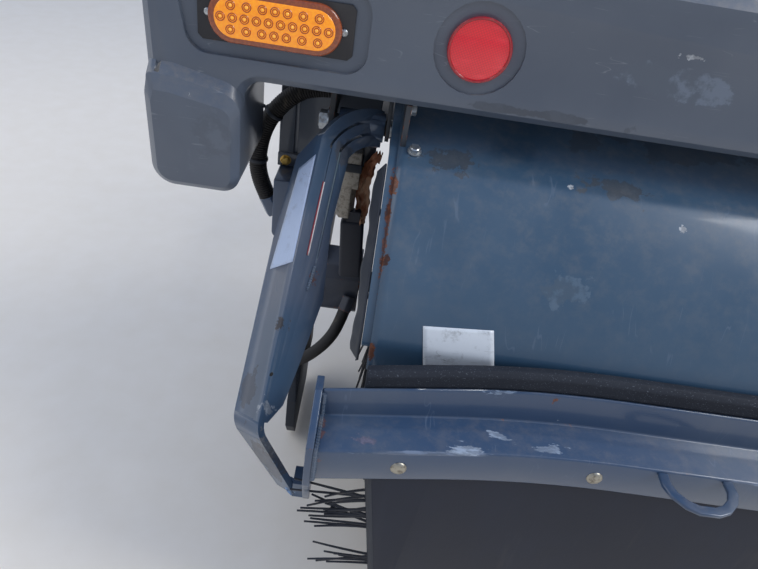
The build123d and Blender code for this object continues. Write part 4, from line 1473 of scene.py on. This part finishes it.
@dataclass
class Hood:
    """The bent steel hood over the broom, with its hangers, in millimetres."""

    half: float = 735.0
    radius: float = 480.0
    centre: Flat = (-604.4, -555.8)
    foot: Flat = (-1058.0, -450.0)
    bend: Flat = (-1058.0, -400.0)
    crest: Flat = (-918.0, -193.0)
    roof: Flat = (-600.0, -84.0)
    front: Flat = (-440.0, -84.0)
    lip: float = 40.0
    wall: float = 4.0
    ripple: float = 0.7
    still_edge: float = 30.0
    # Each dent's X and Z, its radius and its depth
    dents: tuple[tuple[float, float, float, float], ...] = (
        (-673.0, -276.0, 55.0, 5.0), (-520.0, -235.0, 90.0, 2.4), (-300.0, -330.0, 130.0, 2.0),
        (120.0, -260.0, 110.0, 2.2), (430.0, -350.0, 90.0, 2.6), (620.0, -240.0, 60.0, 2.0))
    marks: tuple[Mark, ...] = (
        Mark((-735, -938, -214), (10, 30, 32), RUST, 0.95, 0.85, 120, 1.0),
        Mark((-737, -967, -242), (8, 22, 24), DEEP_RUST, 0.9, 0.85, 90, 0.8),
        Mark((-731, -1006, -294), (10, 16, 16), DEEP_RUST, 0.95, 0.9, 130, 0.7, (0, 25, 0)),
        Mark((-736, -985, -265), (5, 100, 120), RUST, 0.8, 0.85, 150, 1.0),
        Mark((-732, -1058, -417), (9, 14, 34), RUST, 0.95, 0.9, 90, 0.8),
        Mark((-489, -912, -191), (8, 9, 9), CHALK, 0.9, 0.8, 150, 0.7),
        Mark((-328, -942, -214), (9, 10, 10), CHALK, 0.9, 0.8, 140, 0.8),
        Mark((-488, -1010, -299), (60, 30, 34), tone(92, 112, 130), 0.5, 0.45, 30, 0.9),
        Mark((-661, -896, -186), (60, 44, 24), tone(70, 68, 66), 0.6, 0.7, 40, 1.0),
        Mark((-418, -900, -188), (90, 40, 24), tone(74, 72, 70), 0.6, 0.7, 40, 1.0),
        Mark((-300, -800, -150), (300, 60, 40), tone(60, 62, 66), 0.4, 0.6, 20, 1.0))
    skirt: Flat = (0.012, 0.365)
    skirt_deep: Flat = (8.0, 40.0)
    skirt_x: float = -748.5
    skirt_shade_flare: float = 12.0
    label: tuple[Point, ...] = ((-656, 0, -428), (-556, 0, -418), (-667, 0, -366), (-569, 0, -359))
    # Each bolt's place, the way it looks and its width
    bolts: tuple[tuple[Point, Point, float], ...] = (
        ((-712, -890, -183), (0, -0.32, 0.95), 14.0), ((-725, -862, -135), (1, 0, 0), 13.0),
        ((-725, -800, -105), (1, 0, 0), 13.0))

    def corners(self) -> list[Flat]:
        """The profile from its foot to its lip, as runs between corners."""
        return [self.foot, self.bend, self.crest, self.roof, self.front,
                (self.front[0], self.front[1] - self.lip)]

    def profile(self, share: float) -> Vector:
        """A place on the profile.

        Args:
            share: How far along it, from 0 at its foot to 1 at its lip.

        Returns:
            Its Y and Z in millimetres.
        """
        corners, round_ends = self.corners(), (self.bend, self.crest)
        angles = [atan2(z - self.centre[1], y - self.centre[0]) % (2 * pi) for y, z in round_ends]
        lengths = [hypot(b[0] - a[0], b[1] - a[1]) for a, b in zip(corners, corners[1:])]
        lengths[1] = abs(angles[1] - angles[0]) * self.radius
        rest = share * sum(lengths)
        for index, length in enumerate(lengths):
            if rest <= length or index == len(lengths) - 1:
                part = min(1.0, rest / length)
                break
            rest -= length
        if index == 1:
            angle = angles[0] + (angles[1] - angles[0]) * part
            y = self.centre[0] + self.radius * cos(angle)
            return Vector((y, self.centre[1] + self.radius * sin(angle)))
        start, end = Vector(corners[index]), Vector(corners[index + 1])
        return start.lerp(end, part)

    def surface(self, x: float, place: Vector, out: float = 0.0) -> Vector:
        """A place on the dented surface.

        Args:
            x: Its X in millimetres.
            place: The profile's Y and Z there in millimetres.
            out: How far outside the surface it lies in millimetres.

        Returns:
            The place in metres.
        """
        away = (place - Vector(self.centre)).normalized()
        deep = self.ripple * sin(x / 97.0) * sin(place.y / 61.0 + 1.3)
        for dent_x, dent_z, size, depth in self.dents:
            share = hypot(x - dent_x, place.y - dent_z) / size
            if share < 1.0:
                deep += depth * (1 - share * share) ** 2
        edge = min(1.0, (self.half - abs(x)) / self.still_edge)
        place = place + away * (out - max(0.0, deep) * edge)
        return Vector((x, place.x, place.y)) * MM

    def build(self) -> None:
        """Make the panel, its ends, its hangers with their bolts, its blank label and its skirts."""
        skin = Shape().grid(124, 96, lambda u, v: self.surface((2 * u - 1) * self.half, self.profile(v)))
        skin.outwards()
        enamel = Enamel("hood_enamel", tone(50, 78, 102), tone(62, 86, 108), gloss=0.34, dust=0.16, wear=0.5,
                        coat=0.3, marks=self.marks)
        piece = skin.publish("hood_skin", enamel, Body.FRAME, Slot.STEEL, ("hood_panel",), 40)
        thicken(piece, self.wall)
        for name in pair("hood_end"):
            strip = Shape.of_node(name).soften(1.4)
            strip.publish(f"{name}_strip", enamel, Body.FRAME, Slot.STEEL, (name,), 30)
        dress(pair("hood_hanger"), FRAME_PAINT, Body.FRAME, Slot.FRAME, 1.0)
        self.make_label()
        self.make_shade_skirts()
        bolts = Shape()
        for place, way, across in self.bolts:
            bolts.hex_bolt(place, way, across)
        bolts.mirror().publish("hanger_bolts", ZINC, Body.FRAME)

    def make_shade_skirts(self) -> None:
        """The dark rubber strips that hang inside the hood's ends, flared outwards so that they also stand as
        painted shade for the shaded inside of the hood.
        """
        def place(u: float, v: float) -> Vector:
            """One place on the left strip.

            Args:
                u: How far in from the hood, from 0 to 1.
                v: How far up it, from 0 to 1.

            Returns:
                The place in metres.
            """
            spot = self.profile(self.skirt[0] + (self.skirt[1] - self.skirt[0]) * v)
            inwards = (Vector(self.centre) - spot).normalized()
            deep = self.skirt_deep[0] + (self.skirt_deep[1] - self.skirt_deep[0]) * u
            spot += inwards * (deep + 1.5 * u * sin(60 * v))
            wave = 1.0 + 0.12 * sin(17 * v) + 0.05 * sin(43 * v)
            return Vector((self.skirt_x - self.skirt_shade_flare * u * wave, spot.x, spot.y)) * MM

        # The flared dark strips are partly painted shade: they darken the band where the hood's inside lies
        # in shade.
        strips = Shape().grid(6, 70, place).outwards().mirror()
        thicken(strips.publish("hood_shade_skirts", RUBBER, Body.FRAME), 2.0, 0.0)

    def make_label(self) -> None:
        """The blank sticker above the hood's foot."""
        low_left, low_right, top_left, top_right = self.label

        def place(u: float, v: float) -> Vector:
            """One place on the sticker.

            Args:
                u: How far across it, from 0 to 1.
                v: How far up it, from 0 to 1.

            Returns:
                The place in metres.
            """
            low = Vector(low_left).lerp(Vector(low_right), u)
            spot = low.lerp(Vector(top_left).lerp(Vector(top_right), u), v)
            y = self.foot[0]
            if spot.z > self.bend[1]:
                y = self.centre[0] - sqrt(self.radius ** 2 - (spot.z - self.centre[1]) ** 2)
            return self.surface(spot.x, Vector((y, spot.z)), 0.5)

        sticker = Shape().grid(14, 12, place).outwards()
        thicken(sticker.publish("hood_label", Sticker(), Body.FRAME), 0.4, 1.0)


@dataclass
class SwingArms:
    """The slotted gooseneck arms with their stickers, welds and bolts, in millimetres."""

    # The sticker's corners, down the leg and behind its face
    label: tuple[Flat, ...] = ((-376, 5), (-356, 38), (-220, 3), (-204, 54))
    ridge: float = -5.5
    strip: Flat = (-342.0, -234.0)
    strip_at: Flat = (12.6, 16.4)
    # Each strip's edges inboard of the ridge, then its top and its foot down the leg
    infill: tuple[tuple[float, float, float, float], ...] = (
        (12.2, 15.8, -392, -226), (30.2, 33.8, -392, -226))
    infill_deep: Flat = (1.0, 9.0)
    welds: tuple[tuple[Point, Point], ...] = (
        ((-222, 31, -1), (-186, 27, -1)), ((-372, 37.5, 15), (-70, 37.5, 15)),
        ((-300, 8, 15), (-40, 8, 15)), ((2, 4, 60), (2, 4, 16)))
    toe: Point = (-814.0, -1138.0, -628.0)
    toe_way: Point = (-0.72, -0.32, -0.61)

    def enamel(self) -> Enamel:
        """The arm's paint with its own wear."""
        return Enamel("arm_enamel", tone(62, 84, 108), tone(84, 94, 112), dust=0.14, marks=self.marks())

    def marks(self) -> tuple[Mark, ...]:
        """The arm's own dirt and wear, with a pale streak above the elbow that is partly a painted highlight.

        Returns:
            The marks.
        """
        def at(along: float, inward: float, deep: float = 0.0) -> Point:
            """A mark's middle."""
            return tuple(on_arm(along, inward, deep))

        return (
            Mark(at(-131, -4, 2), (16, 16, 16), BROWN_DIRT, 0.8, 0.8, 110, 1.0),
            Mark(at(-60, -2, 2), (7, 7, 7), tone(26, 24, 24), 1.0, 0.8, 60, 0.3),
            # A pale streak above the elbow: a scratch, and a painted highlight along it.
            Mark(at(-10, 6, 2), (20, 8, 40), CHALK, 0.5, 0.5, 150, 1.1, (0, 0, 0), (1, 1, 0.3)),
            Mark(at(40, 21, 2), (34, 30, 34), tone(150, 146, 140), 0.6, 0.8, 130, 1.2),
            Mark(at(70, 40, 25), (60, 50, 60), tone(86, 78, 74), 0.6, 0.6, 26, 0.8),
            Mark(at(-200, 36, 4), (12, 12, 20), RUST, 0.7, 0.8, 90, 1.0),
            Mark(at(-395, 40, 4), (40, 30, 30), tone(84, 78, 72), 0.5, 0.7, 50, 1.0),
            Mark(at(-30, -6, 40), (30, 40, 60), BROWN_DIRT, 0.45, 0.7, 70, 1.1))

    def build(self) -> None:
        """Make both arms and what is on them."""
        for name in pair("swing_arm"):
            arm = Shape.of_node(name).soften(1.4)
            arm.publish(f"{name}_skin", self.enamel(), Body.DOOR, Slot.STEEL, (name,), 30)
        self.make_label()
        self.make_strip()
        self.make_infill()
        self.make_welds()
        self.make_bolts()

    def make_infill(self) -> None:
        """The strips that close the slits below the neck, a little under the face."""
        strips, seams = Shape(), Shape()
        near, deep = self.infill_deep
        for first, last, top, foot in self.infill:
            for vertex in bmesh.ops.create_cube(strips.mesh, size=1.0)["verts"]:
                part = vertex.co + Vector((0.5, 0.5, 0.5))
                vertex.co = on_arm(top + (foot - top) * part.x, first + (last - first) * part.y,
                                   near + (deep - near) * part.z) * MM
        first, last, top, foot = self.infill[1]
        seams.bead([on_arm(top + (foot - top) * i / 12, (first + last) / 2, 0.6) for i in range(13)], 1.3, 7)
        strips.outwards().mirror().publish("arm_slit_infill", self.enamel(), Body.DOOR, Slot.STEEL)
        enamel = Enamel("seam_enamel", tone(104, 124, 134), wear=0.4)
        seams.outwards().mirror().publish("arm_slit_seams", enamel, Body.DOOR, Slot.STEEL)

    def make_label(self) -> None:
        """The long pale sticker on the arm's side."""
        corners = [on_arm(s, self.ridge - 0.4, d) for s, d in self.label]
        top_front, top_rear, low_front, low_rear = corners

        def place(u: float, v: float) -> Vector:
            """One place on the sticker."""
            return top_front.lerp(top_rear, u).lerp(low_front.lerp(low_rear, u), v) * MM

        film = Sticker("pale_blue_sticker", tone(184, 200, 226), tone(128, 138, 158))
        label = Shape().grid(8, 24, place).outwards().mirror()
        thicken(label.publish("arm_labels", film, Body.DOOR), 0.4, 0.0)

    def make_strip(self) -> None:
        """The thin red and white tape along the slit."""
        low, high = self.strip
        near, far = self.strip_at
        middle = (near + far) / 2
        for name, first, last, colour in (("red", near, middle, tone(150, 48, 60)),
                                          ("white", middle, far, tone(214, 208, 206))):
            tape = Shape().grid(1, 24, lambda u, v: on_arm(low + (high - low) * v,
                                                           first + (last - first) * u, -0.4) * MM)
            film = Sticker(f"tape_{name}", colour)
            thicken(tape.outwards().mirror().publish(f"arm_tape_{name}", film, Body.DOOR), 0.5, 0.0)

    def make_welds(self) -> None:
        """The beads at the slit's end, the stiffener and the lower leg."""
        beads = Shape()
        for number, run in enumerate(self.welds):
            beads.bead([on_arm(*point) for point in run], 2.6, number)
        beads.outwards().mirror().publish("arm_welds", WELD, Body.DOOR, Slot.STEEL)

    def make_bolts(self) -> None:
        """The bolts through the toes of the arms."""
        zinc = BareMetal("blue_zinc", tone(120, 150, 190), tone(80, 88, 100), 0.3, 1.0, 0.4)
        bolt = Shape().hex_bolt(self.toe, self.toe_way, 20.0, 12.0)
        bolt.mirror().publish("toe_bolts", zinc, Body.DOOR)


@dataclass
class DoorBeam:
    """The bent beam with its end plates, handles, seal and flap, in millimetres."""

    step: float = 30.0
    bolt_x: tuple[float, ...] = (675.0, 399.0, 133.0)
    bolt_z: float = -510.0
    bolt_head: Flat = (11.5, 5.0)
    nut_back: float = 14.0
    nut_across: float = 15.0
    face_y: float = -1147.0
    weld_x: float = 787.5
    weld_tops: Flat = (-436.0, -424.0)
    # The beads' corners below their tops, as Y and Z on the straight end
    weld_line: tuple[Flat, ...] = ((-1085, -475), (-1148, -475), (-1149, -534))
    marks: tuple[Mark, ...] = (
        # The first two marks are a painted highlight along the fold between the middle face and the lip,
        # partly worn paint on that edge.
        Mark((60, -1147, -479), (620, 6, 6), FOLD_HIGHLIGHT_AND_WEAR, 0.6, 0.5, 90, 0.5, (0, 0, 0), (0.15, 1, 1)),
        Mark((-640, -1170, -480), (175, 6, 7), FOLD_HIGHLIGHT_AND_WEAR, 0.6, 0.5, 90, 0.5, (0, 0, 8.5), (0.15, 1, 1)),
        Mark((-590, -1158, -478), (46, 16, 8), tone(168, 182, 200), 0.75, 0.5, 120, 1.0, (0, 0, 14),
             (0.3, 1, 1)),
        Mark((-538, -1124, -478), (34, 10, 8), RUBBED, 0.7, 0.5, 140, 1.0, (0, 0, -20), (0.3, 1, 1)),
        Mark((-473, -1136, -478), (36, 12, 8), RUBBED, 0.6, 0.5, 140, 1.1, (0, 0, 10), (0.3, 1, 1)),
        Mark((-452, -1106, -470), (5, 36, 8), CHALK, 0.6, 0.5, 150, 0.8),
        Mark((-722, -1163, -478), (26, 12, 10), tone(128, 112, 128), 0.45, 0.6, 90, 1.2),
        Mark((-538, -1098, -424), (40, 12, 8), tone(150, 168, 190), 0.6, 0.5, 140, 1.0,
             stretch=(0.3, 1, 1)),
        Mark((-468, -1090, -432), (7, 10, 14), RUST, 0.9, 0.8, 110, 0.8),
        Mark((-785, -1150, -500), (12, 60, 50), RUST, 0.5, 0.8, 80, 1.1),
        Mark((150, -1130, -478), (120, 18, 8), DULLED, 0.5, 0.5, 60, 1.1, (0, 0, 4), (0.2, 1, 1)),
        Mark((520, -1120, -478), (90, 20, 8), DULLED, 0.5, 0.5, 60, 1.1, (0, 0, -6), (0.2, 1, 1)))

    def bent(self, name: str, width: float) -> Shape:
        """A softened copy of a solid, eased along the bend."""
        return Shape.of_node(name).soften(width).slice_up(0, self.step).warp(BEND.rule)

    def build(self) -> None:
        """Make the door's cross pieces."""
        enamel = Enamel("beam_enamel", tone(46, 69, 98), tone(68, 83, 103), dust=0.14, marks=self.marks)
        beam = self.bent("door_beam", 3.0)
        beam.publish("door_beam_skin", enamel, Body.DOOR, Slot.STEEL, ("door_beam",), 40)
        for name in pair("end_plate"):
            self.bent(name, 1.2).publish(f"{name}_skin", enamel, Body.DOOR, Slot.STEEL, (name,))
        for name in pair("handle"):
            loop = Shape.of_node(name).soften(1.8, 25.0, 3)
            loop.publish(f"{name}_loop", enamel, Body.DOOR, Slot.STEEL, (name,), 50)
        seal, flap = self.bent("seal_strip", 2.0), self.bent("rubber_flap", 1.0)
        seal.publish("seal_lip", SEAL_RUBBER, Body.DOOR, Slot.RUBBER, ("seal_strip",), 50)
        flap.publish("flap_sheet", FLAP_RUBBER, Body.DOOR, Slot.RUBBER, ("rubber_flap",))
        self.make_bolts()
        self.make_welds()

    def face_at(self, x: float) -> float:
        """Where the beam's lower face lies.

        Args:
            x: A place along the beam in millimetres.

        Returns:
            The face's Y there in millimetres.
        """
        slope = tan(radians(BEND.degrees))
        out = BEND.kink_x - x
        if out > BEND.ease:
            return self.face_y - slope * out
        if out > -BEND.ease:
            return self.face_y - slope * (out + BEND.ease) ** 2 / (4 * BEND.ease)
        return self.face_y

    def make_bolts(self) -> None:
        """The round bolt heads on the beam's lower face and their nuts behind the flap."""
        heads, nuts = Shape(), Shape()
        for x in (*self.bolt_x, *[-x for x in self.bolt_x]):
            y = self.face_at(x)
            heads.dome((x, y, self.bolt_z), (0, -1, 0), *self.bolt_head, 20)
            nuts.hex_bolt((x, y + self.nut_back, self.bolt_z), (0, 1, 0), self.nut_across)
        head = BareMetal("carriage_zinc", tone(170, 166, 154), tone(112, 102, 88), 0.42, 0.8)
        heads.publish("carriage_bolts", head, Body.DOOR)
        nuts.publish("flap_nuts", ZINC, Body.DOOR)

    def make_welds(self) -> None:
        """The beads between the beam and its end plates."""
        shift = self.face_y - self.face_at(-787.0)
        left_top, right_top = self.weld_tops
        beads = Shape()
        for side, back, top, seed in ((-1, shift, left_top, 5), (1, 0.0, right_top, 6)):
            corners = ((self.weld_line[0][0], top), *self.weld_line)
            beads.bead([(side * self.weld_x, y - back, z) for y, z in corners], 3.6, seed)
        beads.outwards().publish("beam_welds", WELD, Body.DOOR, Slot.STEEL)


@dataclass
class FlapBrush:
    """The stiff strands in their holders along the flap's slanting edges, in millimetres."""

    top: Flat = (712.0, -540.0)
    foot: Flat = (655.0, -940.0)
    middle_y: float = -1137.0
    strands: int = 34
    long: Flat = (52.0, 116.0)
    fall: Flat = (0.04, 0.2)
    droop: float = 4.0
    thick: float = 2.1
    holder: float = 5.5
    clusters: tuple[float, ...] = (0.12, 0.2, 0.24, 0.3, 0.5, 0.54, 0.74, 0.88)
    seed: int = 9

    def edge(self, side: int, share: float) -> Vector:
        """A place on the flap's edge.

        Args:
            side: -1 for the left edge and 1 for the right.
            share: How far down it, from 0 at its top to 1 at its foot.

        Returns:
            The place in millimetres.
        """
        x = side * (self.top[0] + (self.foot[0] - self.top[0]) * share)
        z = self.top[1] + (self.foot[1] - self.top[1]) * share
        back = tan(radians(BEND.degrees)) * max(0.0, BEND.kink_x - x)
        return Vector((x, self.middle_y - back, z))

    def build(self) -> None:
        """Make the holders and the strands."""
        draw = random.Random(self.seed)
        holders, strands = Shape(), Shape()
        for side in (-1, 1):
            line = [self.edge(side, i / 20) * MM for i in range(21)]
            holders.tube(line, lambda share: self.holder * MM, 8)
            for _ in range(self.strands):
                share = draw.choice(self.clusters) + draw.gauss(0, 0.02)
                root = self.edge(side, max(0.02, min(0.98, share)))
                long, fall = draw.uniform(*self.long), draw.gauss(*self.fall)
                droop = Vector((0, draw.gauss(0, self.droop), -self.droop))
                tip = root + Vector((side * long, 0, long * fall))
                line = [(root.lerp(tip, part / 4) + droop * (part / 4) ** 2) * MM for part in range(5)]
                strands.tube(line, lambda part: self.thick * (1 - 0.3 * part) * MM, 6)
        holders.outwards().publish("flap_edge_holders", RUBBER, Body.DOOR)
        strands.outwards().publish("flap_edge_strands", BRISTLE, Body.DOOR)


@dataclass
class BroomCarrier:
    """The carrier's tube and arms with the motor, bearing and shoes, in millimetres."""

    motor: Flat = (-641.0, -598.0)
    arm_x: float = -850.0
    flange_offset: float = 38.0
    flange_bolt: float = 17.0
    hub_bolt: float = 30.0

    def build(self) -> None:
        """Finish the solids and add their bolts."""
        dress(("pivot_tube", *pair("trailing_arm")), FRAME_PAINT, Body.CARRIER, Slot.FRAME, 1.5)
        dress(("broom_motor", "broom_bearing"), CASTING, Body.CARRIER, Slot.CAST, 3.0)
        dress(pair("drag_shoe"), RUBBER, Body.CARRIER, Slot.RUBBER, 2.0)
        y, z = self.motor
        bolts = Shape()
        for side_y in (-1, 1):
            for side_z in (-1, 1):
                place = (self.arm_x, y + side_y * self.flange_offset, z + side_z * self.flange_offset)
                bolts.hex_bolt(place, (-1, 0, 0), self.flange_bolt)
        bolts.hex_bolt((self.arm_x, y, z), (-1, 0, 0), self.hub_bolt).mirror()
        bolts.publish("carrier_bolts", ZINC, Body.CARRIER)


@dataclass
class Broom:
    """The main broom: its core and its strip bristles, in millimetres."""

    middle: Flat = (-641.0, -598.0)
    core_radius: float = 128.0
    radius: float = 400.0
    half: float = 722.0
    splay: float = 742.0
    rows: int = 10
    strands: int = 260
    thick: float = 2.3
    sunk: float = 4.0
    tip_spread: float = 9.0
    row_fan: float = 0.11
    bow: float = 5.0
    journal: float = 23.5
    running_fit: float = 0.965
    seed: int = 11

    def build(self) -> None:
        """Make the core and the strands."""
        core = Shape.of_node("broom_core").soften(2.0).warp(self.slim)
        core.publish("broom_core_skin", CORE_PAINT, Body.BROOM, Slot.CORE, ("broom_core",))
        self.make_strands()

    def slim(self, place: Vector) -> Vector:
        """Give the journals a little running room in their bores.

        Args:
            place: A vertex's place in metres.

        Returns:
            Its new place in metres.
        """
        y, z = self.middle
        middle = Vector((place.x, y * MM, z * MM))
        out = place - middle
        return middle + out * self.running_fit if out.length < self.journal * MM else place

    def make_strands(self) -> None:
        """Every strand a thin square rod with a slight bend, doubled from the first."""
        shape = Shape()
        bmesh.ops.create_cube(shape.mesh, size=1.0)
        bmesh.ops.translate(shape.mesh, verts=shape.mesh.verts[:], vec=(0.0, 0.0, 0.5))
        shape.slice_up(2, 0.5 / MM)
        points = len(shape.mesh.verts)
        count = self.rows * self.strands
        made = 1
        while made < count:
            more = min(made, count - made)
            shape.mesh.verts.index_update()
            shape.mesh.faces.index_update()
            faces = [f for f in shape.mesh.faces if f.verts[0].index < more * points]
            whole = dict.fromkeys([part for f in faces for part in (*f.verts, *f.edges, f)])
            bmesh.ops.duplicate(shape.mesh, geom=list(whole))
            made += more
        self.place_strands(shape, points)
        shape.publish("bristle_strands", BRISTLE, Body.BROOM, Slot.BRISTLE, ("bristle_rows",), 30)

    def place_strands(self, shape: Shape, points: int) -> None:
        """Stand each strand on the core.

        Args:
            shape: All strands, each a rod from 0 to 1 along Z.
            points: The vertices of one strand.
        """
        draw = random.Random(self.seed)
        spots = []
        for row in range(self.rows):
            for _ in range(self.strands):
                root = draw.uniform(-self.half + 6, self.half - 6)
                lean = root * self.splay / self.half + draw.gauss(0, self.tip_spread)
                tip = max(-self.splay + 3, min(self.splay - 3, lean))
                angle = 2 * pi * row / self.rows
                low, high = angle + draw.uniform(-0.02, 0.02), angle + draw.gauss(0, self.row_fan)
                reach = self.radius - 2 - abs(draw.gauss(0, self.tip_spread))
                spots.append((root, tip, low, high, reach, draw.gauss(0, self.bow)))
        shape.mesh.verts.ensure_lookup_table()
        for index, vertex in enumerate(shape.mesh.verts):
            root, tip, low, high, reach, bow = spots[index // points]
            share = vertex.co.z
            x = root + (tip - root) * share + bow * 4 * share * (1 - share)
            angle = low + (high - low) * share
            out = self.core_radius - self.sunk + (reach - self.core_radius + self.sunk) * share
            thick = self.thick * (1.0 - 0.3 * share) * 2
            side = vertex.co.y * thick
            y = self.middle[0] + out * cos(angle) - side * sin(angle)
            z = self.middle[1] + out * sin(angle) + side * cos(angle)
            vertex.co = Vector((x + vertex.co.x * thick, y, z)) * MM


@dataclass
class LiftCylinder:
    """The cylinder that holds the broom's carrier."""

    def build(self) -> None:
        """Finish the barrel and the rod."""
        dress(("lift_barrel",), CORE_PAINT, Body.BARREL, Slot.CORE, 1.5)
        dress(("lift_rod",), CHROME, Body.ROD, Slot.CHROME, 1.0)


def main() -> None:
    """Build the assembly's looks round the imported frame."""
    logging.basicConfig(level=logging.INFO, format="%(message)s")
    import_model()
    bpy.context.scene.view_settings.view_transform = "Standard"
    PhotoCamera().build()
    assemblies = (Hoses(), ChassisFrame(), Bumper(), Lamps(), DoorPivots(), Hood(), SwingArms(), DoorBeam(),
                  FlapBrush(), BroomCarrier(), Broom(), LiftCylinder())
    for assembly in assemblies:
        assembly.build()
        LOG.info("%s done", type(assembly).__name__)
    Studio().build()


if __name__ == "__main__":
    main()
